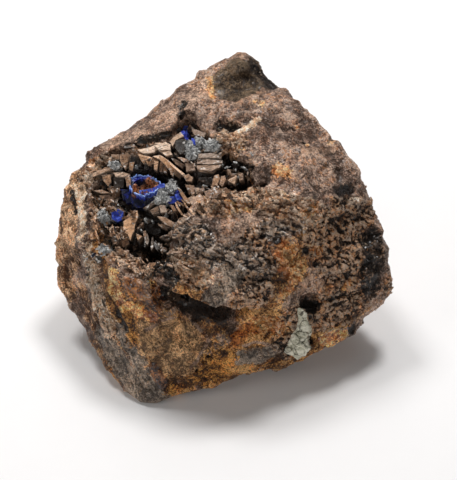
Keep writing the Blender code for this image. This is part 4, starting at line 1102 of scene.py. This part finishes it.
class Crystals:
    """Crystals under construction, with a tone, a warmth and a pale edge at each corner. The pale edge is a painted
    highlight, and the darker tone at the back is painted shade.
    """

    def __init__(self):
        self.build = bmesh.new()
        self.layers = {key: self.build.verts.layers.float.new(key) for key in ("tone", "warmth", "edge")}

    def corner(self, place, tone, warmth, edge):
        vertex = self.build.verts.new(place)
        for key, value in zip(("tone", "warmth", "edge"), (tone, warmth, edge)):
            vertex[self.layers[key]] = value
        return vertex

    def grow(self, shard, cap=0.94, chamfer=0.09, longest=5.0, lift=0.35, ragged=0.9):
        """Adds the crystal behind one face, back to the surface that it grows on."""
        middle = np.mean(shard.corners, axis=0)
        corners = []
        for here, following in zip(shard.corners, shard.corners[1:] + shard.corners[:1]):
            corners.append(np.array(here) + [pick.uniform(-0.4, 0.4) * ragged, pick.uniform(-0.4, 0.4) * ragged])
            share = pick.uniform(0.3, 0.7)
            between = np.array(here) * (1 - share) + np.array(following) * share
            corners.append(between + (between - middle) * pick.uniform(-0.13, 0.07) * ragged)
        way = sight(*middle)
        wall = wall_distance(EYE, way, (lining_tree, rock_tree))
        if wall > 900:
            return
        reach = wall - 4.0
        for _ in range(6):
            reach += (shard.sink - below_mouth(np.array([EYE + way * reach]))[0]) / way.dot(INTO)
        reach = min(reach, wall - lift)
        centre = EYE + way * reach
        facing = (shard.facing + Vector([pick.uniform(-0.16, 0.16) for _ in range(3)])).normalized()
        face = []
        for point in corners:
            ray = sight(*point)
            face.append(EYE + ray * ((centre - EYE).dot(facing) / ray.dot(facing)))
        back = (way + INTO).normalized()
        depth = [wall_distance(place + back * 0.1, back, (lining_tree, rock_tree)) for place in face]
        depth = min(max([d for d in depth if d < 900], default=1.0) + 0.4, longest)
        # Painted shade: faces that look to the front get a darker tone than those facing up.
        tone = shard.tone * (0.85 if shard.facing == FRONT else 1.0) + pick.uniform(-0.22, 0.2)
        warmth = shard.warmth
        rings = []
        # Painted shade: the ring at the back and the root get a darker tone, and the chamfer ring carries the painted
        # highlight of the edge.
        for scale, drop, push, edge in ((cap, 0.0, 0.0, 0.25), (1.0, chamfer, 0.0, 1.0), (0.8, chamfer, depth, 0.0)):
            ring = []
            for place in face:
                place = centre + (place - centre) * scale - facing * drop + back * push
                ring.append(self.corner(place, tone * (0.2 if push else 1.0), warmth, edge))
            rings.append(ring)
        count = len(face)
        peak = self.corner(centre + facing * pick.uniform(-0.12, 0.1), tone, warmth, 0.0)
        root = self.corner(sum((v.co for v in rings[-1]), Vector()) / count, 0.0, warmth, 0.0)
        for i in range(count):
            j = (i + 1) % count
            self.build.faces.new([peak, rings[0][i], rings[0][j]])
            self.build.faces.new([root, rings[-1][j], rings[-1][i]])
            for near_ring, far_ring in zip(rings, rings[1:]):
                self.build.faces.new([near_ring[i], far_ring[i], far_ring[j], near_ring[j]])

    def mesh(self, name):
        """The crystals as a mesh in millimetres, faces outward."""
        bmesh.ops.recalc_face_normals(self.build, faces=self.build.faces)
        mesh = bpy.data.meshes.new(name)
        self.build.to_mesh(mesh)
        self.build.free()
        put(mesh, "deep", soft_step(0.8, 3.4, below_mouth(places_of(mesh))))
        return mesh


def joined(name, meshes):
    """One mesh made of several. Their attributes and materials stay with them."""
    pieces = [bpy.data.objects.new(name, mesh) for mesh in meshes]
    for piece in pieces:
        bpy.context.scene.collection.objects.link(piece)
    with bpy.context.temp_override(active_object=pieces[0], selected_editable_objects=pieces):
        bpy.ops.object.join()
    return pieces[0]


plates = Crystals()
clear = Crystals()
for group, shards in SHARDS.items():
    for shard in shards:
        if shard.warmth < CLEAR_BELOW:
            clear.grow(shard)
            outline = np.array(shard.corners)
            for _ in range(int(np.ptp(outline[:, 0]) * np.ptp(outline[:, 1]) / 5)):
                share = np.array([pick.random() ** 2 + 0.02 for _ in outline])
                x, y = outline.T @ share / share.sum()
                reach, turn = pick.uniform(0.9, 2.6), pick.uniform(0, 1.5)
                corners = [(x + reach * math.cos(turn + i * 1.57), y + reach * math.sin(turn + i * 1.57)) for i in range(4)]
                # One grain in five gets a much paler tone: painted glints.
                grain_tone = shard.tone - pick.uniform(0.0, 0.3) + (0.6 if pick.random() < 0.2 else 0.0)
                way = FRONT if pick.random() < 0.6 else TOP
                clear.grow(Shard(way, shard.sink - 0.5, grain_tone, -1.0, corners), longest=2.5)
        else:
            plates.grow(shard._replace(warmth=shard.warmth + 0.25))

for x, y in GLINTS + ROCK_GLINTS:
    sink = ON_ROCK if (x, y) in ROCK_GLINTS else 1.3
    corners = [(x - 1.1, y - 0.4), (x + 0.2, y - 1.3), (x + 1.1, y + 0.3), (x - 0.1, y + 1.2)]
    clear.grow(Shard(FRONT, sink, 1.0, -1.0, corners), longest=2.0)

# Slivers fill the gaps between them, in fans that lean one way.
for fan in SLIVERS:
    for step in range(fan.count):
        share = (step + pick.uniform(0, 1)) / fan.count
        (x0, y0), (x1, y1) = fan.line
        x = x0 + (x1 - x0) * share + pick.uniform(-2.2, 2.2)
        y = y0 + (y1 - y0) * share + pick.uniform(-2.2, 2.2)
        length = fan.size * pick.uniform(0.6, 1.4)
        width = length * pick.uniform(0.16, 0.4)
        turn = fan.lean + pick.uniform(-0.4, 0.4)
        c, s = math.cos(turn), math.sin(turn)
        outline = [(-0.5, -0.3), (0.1, -0.5), (0.5, 0.0), (0.2, 0.5), (-0.45, 0.4)]
        corners = [(x + length * u * c - width * v * s, y + length * u * s + width * v * c) for u, v in outline]
        facing = FRONT if pick.random() < 0.5 else TOP
        tone = min(max(fan.tone + pick.uniform(-0.35, 0.25), 0.05), 0.95)
        plates.grow(Shard(facing, pick.uniform(0.3, 2.2), tone, fan.warmth + pick.uniform(-0.3, 0.3), corners), longest=3.0)

lining_deep = soft_step(0.6, 3.2, below_mouth(lining_places))
lining_pixels = pixels_of(lining_places)
open_floor = np.full(len(lining_places), -1.0)
for gap in GAPS:
    open_floor = np.maximum(open_floor, 1.0 - distance_to(gap.path, lining_pixels) / gap.radius)
# The open gaps are painted dark like the deep lining: painted shade.
put(crust.data, "deep", np.maximum(lining_deep, soft_step(-0.1, 0.4, open_floor)))
put(crust.data, "tone", np.full(len(lining_places), 0.3))
put(crust.data, "warmth", np.full(len(lining_places), 0.0))
put(crust.data, "edge", np.full(len(lining_places), 0.0))
put(crust.data, "druse", 1.0 - soft_step(-0.2, 0.2, open_floor))

plate = Finish("calcite_crust")
speck = plate.noise(0.35, 3.0, None, 0.65)
mottle = plate.noise(1.1, 3.0, None, 0.6, 0.8)
streak = plate.noise(0.45, 4.0, (0.95, 0.2, 0.24), 0.7)
grain = plate.node("ShaderNodeSeparateColor", {}, {0: plate.grains(0.45)})
tone = plate.attribute("tone")
warmth = plate.attribute("warmth")
deep = plate.attribute("deep")
edge = plate.attribute("edge")
shade = tone + (mottle - 0.5) * 0.9 + (speck - 0.5) * 0.5
body = plate.mix(shade.over(0.0, 0.5), (0.012, 0.008, 0.006), (0.31, 0.170, 0.095))
body = plate.mix(shade.over(0.42, 0.95), body, (0.78, 0.56, 0.40))
body = plate.mix(warmth.over(0.0, 1.2), body, plate.mix(shade.over(0.1, 0.9), (0.10, 0.036, 0.012), (0.80, 0.42, 0.20)))
body = plate.mix((0.0 - warmth).over(0.0, 1.0), body, plate.mix(shade.over(0.1, 0.9), (0.025, 0.028, 0.03), (0.50, 0.49, 0.46)))
body = plate.mix(streak.over(0.56, 0.72) * 0.45, body, plate.mix(tone, (0.03, 0.02, 0.015), (0.7, 0.56, 0.44)))
# Painted highlight along the crystals' edges.
body = plate.mix(edge * (speck + 0.3 * mottle).over(0.45, 0.75) * 0.75, body, plate.mix(tone, (0.22, 0.17, 0.13), (0.86, 0.76, 0.65)))
body = plate.mix((0.42 - speck).over(0.0, 0.08) * 0.7, body, (0.02, 0.013, 0.010))
body = plate.mix((0.455 - streak).over(0.0, 0.05) * 0.75, body, (0.03, 0.018, 0.011))
# Painted shade: darker deeper below the hollow's mouth and in the open gaps.
body = plate.mix(deep * 0.94, body, (0.004, 0.003, 0.003))
glint = grain.over(0.93, 0.96) * (1.0 - deep)
body = plate.mix(glint * 0.6, body, (0.75, 0.72, 0.68))
height = 0.6 * streak + 0.5 * speck + 0.3 * mottle
normal = plate.node("ShaderNodeBump", {}, {"Height": height, "Strength": 0.8, "Distance": 0.00025})
crust_finish = plate.finish(
    Base_Color=body, Roughness=0.45 - 0.15 * speck - 0.2 * glint, Normal=normal, Specular_IOR_Level=0.45
)

# Small plates and rhombs stand all over the lining, except where it lies open and painted black with shade.
DRUSE = {"Where": "druse", "Density": 0.6, "Smallest": (0.3, 0.2, 0.9), "Largest": (1.8, 0.5, 2.6), "Lean": 0.8, "Seed": 5}
druse_mesh = scatter("druse", crust_finish, 0.7, 4).used_on(crust, DRUSE)
druse_tone = np.empty(len(druse_mesh.vertices), np.float32)
druse_mesh.attributes["tone"].data.foreach_get("value", druse_tone)
put(druse_mesh, "warmth", np.where(druse_tone * 7 % 1 > 0.35, 0.35, -0.6))
# A faint painted highlight along the edges of every little crystal.
put(druse_mesh, "edge", np.full(len(druse_tone), 0.3))
put(druse_mesh, "deep", soft_step(0.8, 3.6, below_mouth(places_of(druse_mesh))))
plates_mesh = plates.mesh("plates")
crust.data.materials.append(crust_finish)
plates_mesh.materials.append(crust_finish)
lining_mesh = crust.data
bpy.data.objects.remove(crust)
crust = joined("calcite_crust_body", [lining_mesh, plates_mesh, druse_mesh])
crust.data.transform(Matrix.Scale(MM, 4))
crust.data.polygons.foreach_set("use_smooth", [False] * len(crust.data.polygons))
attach(crust, "root")
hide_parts("calcite_crust")

# Some crystals of the same calcite are clear and grey. They stand in the wedge beside the
# azurite, at the top of the hollow and at its lower left.
CLEAR_INDEX = 1.58
glassy = Finish("clear_calcite")
cloud = glassy.noise(0.9, 3.0, None, 0.6)
speck = glassy.noise(0.35, 3.0, None, 0.65)
tone = glassy.attribute("tone")
edge = glassy.attribute("edge")
shade = tone + (cloud - 0.5) * 0.9
body = glassy.mix(shade.over(0.0, 1.0), (0.16, 0.17, 0.18), (0.84, 0.84, 0.82))
# Painted highlight along the crystals' edges.
body = glassy.mix(edge * speck.over(0.42, 0.62) * 0.8, body, (0.86, 0.85, 0.82))
body = glassy.mix((0.42 - cloud).over(0.0, 0.1) * 0.3, body, (0.04, 0.04, 0.045))
normal = glassy.node("ShaderNodeBump", {}, {"Height": speck + cloud, "Strength": 0.5, "Distance": 0.00015})
glassy_finish = glassy.finish(
    Base_Color=body, Roughness=0.3 - 0.15 * speck, Normal=normal, IOR=CLEAR_INDEX, Transmission_Weight=0.45
)
clear_mesh = clear.mesh("clear_calcite")
put(clear_mesh, "cover", np.full(len(clear_mesh.vertices), 1.0))
lumps = bpy.data.objects.new("lumps", clear_mesh)
bpy.context.scene.collection.objects.link(lumps)
SUGAR = {"Where": "cover", "Density": 0.6, "Smallest": (0.4, 0.35, 0.4), "Largest": (1.4, 1.1, 1.2), "Lean": 0.7, "Seed": 2}
sugar_mesh = scatter("sugar", glassy_finish, 0.45, 4).used_on(lumps, SUGAR)
# A faint painted highlight along the grains' edges.
put(sugar_mesh, "edge", np.full(len(sugar_mesh.vertices), 0.1))
bpy.data.objects.remove(lumps)
clear_mesh.materials.append(glassy_finish)
clear_crystals = joined("clear_calcite", [clear_mesh, sugar_mesh])
clear_mesh = clear_crystals.data
clear_mesh.polygons.foreach_set("use_smooth", [False] * len(clear_mesh.polygons))
clear_mesh.transform(Matrix.Scale(MM, 4))
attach(clear_crystals, "root")

# ---------------------------------------------------------------------------------------------
# The azurite. A six-sided box with thin blue walls round a rusty core, blue blades below it, and
# two smaller tufts. Tiny wedge-shaped crystals of copper carbonate cover it all.

AZURITE_CELL = 0.2
AZURITE_MIDDLE = Vector((-20.4, 4, 39.5))
BOX_RIM = [
    (-24.6, 7.6, 39.2), (-22.8, 8.6, 39.8), (-20.4, 7.8, 40.2), (-18.4, 5.8, 40.7), (-15.7, 2.6, 41.2),
    (-18.2, 1.4, 40), (-20.4, 0.8, 39.4), (-22.6, 1.9, 39), (-24.4, 4.6, 38.7), (-24.6, 7.6, 39.2),
]
WALL_THICK = 0.3
WALL_DOWN = 2.4
WALL_STEPS = 7
# The lowest blades under the box get the darkest tones: painted shade below it.
BLUE_SHARDS = [
    Shard(FRONT, 1.2, 0.8, 0, [(131.5, 189.5), (139, 190.3), (137.8, 195.2), (132.6, 194.6)]),
    Shard(FRONT, 1.2, 0.75, 0, [(139, 190.3), (152.7, 188), (159.6, 184.3), (158.5, 193.5), (149.3, 198.1), (139, 196.9)]),
    Shard(FRONT, 1.6, 0.12, 0, [(122.9, 193.5), (132.1, 194.6), (135.5, 200.4), (126.3, 203.8)]),
    Shard(FRONT, 1.6, 0.14, 0, [(135.5, 198.1), (149.3, 199.2), (147, 207.3), (136.7, 208.4), (130.9, 202.7)]),
    Shard(FRONT, 0.6, 0.85, 0, [(174.6, 194.1), (178.6, 194.6), (181.7, 199.2), (176.8, 200.4)]),
    Shard(FRONT, 0.8, 0.7, 0, [(169, 197), (175, 196), (177, 203), (170, 204)]),
    Shard(FRONT, 0.7, 0.95, 0, [(158.5, 184.3), (164.2, 182.9), (165.4, 186.6), (158.5, 188.9)]),
    Shard(FRONT, 1.3, 0.15, 0, [(119.4, 188.9), (128.6, 189.5), (130.9, 193.5), (122.9, 200.4), (120.6, 190)]),
    Shard(FRONT, 0.8, 0.5, 0, [(165.4, 199.2), (174.6, 199.2), (173.4, 205), (167.1, 202.1)]),
    Shard(FRONT, ON_ROCK, 0.8, 0, [(182, 127.5), (184.7, 123.7), (188.1, 125.7), (187, 131.5), (182.6, 132.4)]),
    Shard(FRONT, ON_ROCK, 0.7, 0, [(187, 130.3), (189.2, 130.6), (191.5, 136.1), (188.3, 138.9), (184.9, 136.1)]),
    Shard(FRONT, 0.3, 0.6, 0, [(191, 138), (196, 139), (198, 145), (193, 146)]),
    Shard(FRONT, 0.6, 0.35, 0, [(111.2, 212.4), (118.3, 209), (123.5, 211.8), (122.3, 219.9), (116, 222.2), (112, 218.7)]),
    Shard(FRONT, ON_ROCK, 0.1, 0, [(91, 255), (95, 252), (99, 256), (94, 260)]),
]
blue = Finish("azurite")
speck = blue.noise(0.4, 3.0, None, 0.65)
mottle = blue.noise(1.2, 3.0, None, 0.6, 0.6)
facet = blue.node("ShaderNodeSeparateColor", {}, {0: blue.grains(0.5)})
tone = blue.attribute("tone")
edge = blue.attribute("edge")
core = blue.attribute("core")
shade = tone + (mottle - 0.5) * 0.9 + (facet - 0.5) * 0.35
body = blue.mix(shade.over(0.05, 0.6), (0.003, 0.005, 0.018), (0.012, 0.026, 0.33))
body = blue.mix(shade.over(0.55, 1.0), body, (0.035, 0.07, 0.72))
body = blue.mix(facet.over(0.80, 0.92) * shade.over(0.2, 0.8) * 0.6, body, (0.12, 0.20, 0.75))
# Painted highlight: paler blue along the edges.
body = blue.mix(edge * tone.over(0.3, 0.75) * (speck + 0.3 * mottle).over(0.42, 0.72), body, (0.30, 0.46, 0.86))
rusty = blue.mix((mottle + 0.3 * (facet - 0.5)).over(0.38, 0.55), (0.05, 0.016, 0.006), (0.42, 0.15, 0.05))
rusty = blue.mix((speck + 0.3 * (mottle - 0.5)).over(0.56, 0.7), rusty, (0.62, 0.36, 0.22))
body = blue.mix(core, body, rusty)
height = facet + 0.6 * speck
normal = blue.node("ShaderNodeBump", {}, {"Height": height, "Strength": 0.7, "Distance": 0.0002})
azurite_finish = blue.finish(Base_Color=body, Roughness=0.3 + 0.3 * core, Normal=normal, Specular_IOR_Level=0.5)


def box_wall():
    """The thin wall that stands round the rim of the box, with a ragged pale top as painted highlight and a dark foot
    as painted shade.
    """
    build = bmesh.new()
    layers = {key: build.verts.layers.float.new(key) for key in ("tone", "edge")}
    rings = []
    for start, end in zip(BOX_RIM, BOX_RIM[1:]):
        for step in range(WALL_STEPS):
            place = Vector(start).lerp(Vector(end), step / WALL_STEPS)
            out = (place - AZURITE_MIDDLE) * Vector((1, 1, 0))
            out.normalize()
            place += out * pick.uniform(-0.25, 0.25)
            top = place + Vector((0, 0, pick.uniform(-0.1, 0.55)))
            foot = place - Vector((0, 0, WALL_DOWN)) - out * 0.3
            half = out * (WALL_THICK / 2)
            ring = []
            # Pale at the top as painted highlight, darker down to the foot as painted shade.
            for spot, tone, edge in ((top - half, 0.8, 1.0), (top + half, 0.8, 1.0), (top + half - Vector((0, 0, 0.7)), 0.62, 0.1)):
                ring.append((spot, tone, edge))
            ring.append((foot + half, 0.0, 0.0))
            ring.append((foot - half, 0.2, 0.0))
            made = []
            for spot, tone, edge in ring:
                vertex = build.verts.new(spot)
                vertex[layers["tone"]] = tone
                vertex[layers["edge"]] = edge
                made.append(vertex)
            rings.append(made)
    for here, following in zip(rings, rings[1:] + rings[:1]):
        for i in range(5):
            j = (i + 1) % 5
            build.faces.new([here[i], here[j], following[j], following[i]])
    bmesh.ops.recalc_face_normals(build, faces=build.faces)
    mesh = bpy.data.meshes.new("box_wall")
    build.to_mesh(mesh)
    build.free()
    put(mesh, "core", np.zeros(len(mesh.vertices)))
    mesh.materials.append(azurite_finish)
    return mesh


for node in ("azurite_main", "azurite_upper", "azurite_lower"):
    tuft = regridded(copied(node, node + "_body"), AZURITE_CELL, 0)
    places = places_of(tuft.data)
    normals = normals_of(tuft.data)
    core_share = np.zeros(len(places))
    inset = 0.0
    tone = np.full(len(places), 0.35 if node == "azurite_lower" else 0.6)
    if node == "azurite_main":
        axis = np.linalg.norm((places - np.array(AZURITE_MIDDLE))[:, :2] * [0.85, 1.1], axis=1)
        core_share = (1 - soft_step(2.6, 3.3, axis)) * soft_step(36.5, 37.5, places[:, 2])
        inset = 0.25
        # Painted shade: the box's blue gets darker towards its bottom.
        tone = 0.45 * soft_step(38.0, 40.0, places[:, 2])
    wedge, _ = chips(places, 0.9, (1, 1, 0.5), 6.0)
    tiny, _ = chips(places, 0.45, (1, 1, 0.7), 1.0)
    spiky, _ = chips(places, 0.6, (1, 1, 0.4), 12.0)
    push = 0.2 * wedge + 0.1 * tiny - inset + core_share * (0.3 + 0.7 * spiky)
    moved = places + normals * push[:, None]
    tuft.data.vertices.foreach_set("co", moved.ravel())
    put(tuft.data, "edge", np.zeros(len(places)))
    put(tuft.data, "core", core_share)
    put(tuft.data, "tone", tone)
    tuft.data.materials.append(azurite_finish)
    if node == "azurite_main":
        body_mesh = tuft.data
        bpy.data.objects.remove(tuft)
        tuft = joined(node + "_body", [body_mesh, box_wall()])
        tuft.data.polygons.foreach_set("use_smooth", [False] * len(tuft.data.polygons))
    tuft.data.transform(Matrix.Scale(MM, 4))
    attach(tuft, "root")
    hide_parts(node)

blades = Crystals()
for shard in BLUE_SHARDS:
    blades.grow(shard, longest=3.0)
blade_mesh = blades.mesh("azurite_blades")
put(blade_mesh, "core", np.zeros(len(blade_mesh.vertices)))
blade_mesh.transform(Matrix.Scale(MM, 4))
blade_mesh.materials.append(azurite_finish)
blade_piece = bpy.data.objects.new("azurite_blades", blade_mesh)
bpy.context.scene.collection.objects.link(blade_piece)
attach(blade_piece, "root")

# ---------------------------------------------------------------------------------------------
# The grey-green crust low on the front. A thin lobed dab of dull clay-like mineral, cracked into
# a few plates, which lies against the rock.

# Its outline in pixels of the view.
PALE_EDGE = [
    (298, 308.3), (303, 307.7), (307, 313.8), (307.6, 320.5), (311.5, 326), (312, 334), (308, 340.6),
    (312.3, 347.3), (307.6, 351.8), (305.4, 356.3), (297.5, 359.6), (292, 356.3), (284.2, 352.3),
    (287.5, 344), (292, 333.9), (296.4, 328.3), (298.7, 318.3), (297.5, 312.7),
]
PALE_THICK = 0.9
PALE_ROOT = 0.7
PALE_STEP = 0.9

sheet = bmesh.new()
sheet.faces.new([sheet.verts.new((x, y, 0)) for x, y in PALE_EDGE])
bmesh.ops.triangulate(sheet, faces=sheet.faces)
for _ in range(8):
    long_edges = [edge for edge in sheet.edges if edge.calc_length() > PALE_STEP]
    if not long_edges:
        break
    bmesh.ops.subdivide_edges(sheet, edges=long_edges, cuts=1)
    bmesh.ops.triangulate(sheet, faces=sheet.faces)
    bmesh.ops.beautify_fill(sheet, faces=sheet.faces, edges=[e for e in sheet.edges if not e.is_boundary])
flat = np.array([vertex.co[:] for vertex in sheet.verts])
flat[:, 2] = 0
frayed = np.stack([cloudy(flat, 4.0, 3, 3.0), cloudy(flat, 4.0, 3, 9.0)], 1)
margin = distance_to([(x, y, 0) for x, y in PALE_EDGE + PALE_EDGE[:1]], flat)
slab, slab_crack = chips(flat, 9.0, (1, 1, 1), 2.0)
crumb, _ = chips(flat, 3.0, (1, 1, 1), 5.0)
rise = PALE_THICK * (0.25 + 0.75 * soft_step(0.0, 3.0, margin)) + 0.16 * slab + 0.07 * crumb
rise -= 0.35 * (1 - soft_step(0.0, 0.07, slab_crack)) * soft_step(0.0, 2.0, margin)
sheet.verts.ensure_lookup_table()
roots = {}
crack_layer = sheet.verts.layers.float.new("crack")
for i, vertex in enumerate(list(sheet.verts)):
    way = sight(flat[i, 0] + frayed[i, 0] * 0.9, flat[i, 1] + frayed[i, 1] * 0.9)
    hit = rock_tree.ray_cast(EYE, way)[0]
    vertex.co = hit - way * rise[i]
    vertex[crack_layer] = float(1 - soft_step(0.0, 0.09, slab_crack[i]))
    roots[vertex] = hit + way * PALE_ROOT
fronts = list(sheet.faces)
rim_edges = [(edge.verts[0], edge.verts[1]) for edge in sheet.edges if edge.is_boundary]
under = {vertex: sheet.verts.new(place) for vertex, place in roots.items()}
for face in fronts:
    sheet.faces.new([under[vertex] for vertex in reversed(face.verts)])
for a, b in rim_edges:
    sheet.faces.new([a, b, under[b], under[a]])
bmesh.ops.recalc_face_normals(sheet, faces=sheet.faces)
pale_mesh = bpy.data.meshes.new("pale_crust_body")
sheet.to_mesh(pale_mesh)
sheet.free()
pale_mesh.transform(Matrix.Scale(MM, 4))
clay = Finish("pale_crust")
speck = clay.noise(0.4, 3.0, None, 0.65)
mottle = clay.noise(1.6, 3.0)
body = clay.mix(mottle.over(0.36, 0.6), (0.42, 0.41, 0.31), (0.72, 0.69, 0.57))
body = clay.mix(speck.over(0.55, 0.72) * 0.7, body, (0.80, 0.77, 0.66))
body = clay.mix((0.42 - speck).over(0.0, 0.1) * 0.6, body, (0.17, 0.17, 0.12))
body = clay.mix(clay.attribute("crack") * 0.85, body, (0.06, 0.05, 0.035))
normal = clay.node("ShaderNodeBump", {}, {"Height": speck + mottle, "Strength": 0.5, "Distance": 0.0002})
pale_mesh.materials.append(clay.finish(Base_Color=body, Roughness=0.6, Normal=normal, Specular_IOR_Level=0.3))
pale = bpy.data.objects.new("pale_crust_body", pale_mesh)
bpy.context.scene.collection.objects.link(pale)
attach(pale, "root")
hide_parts("pale_crust")
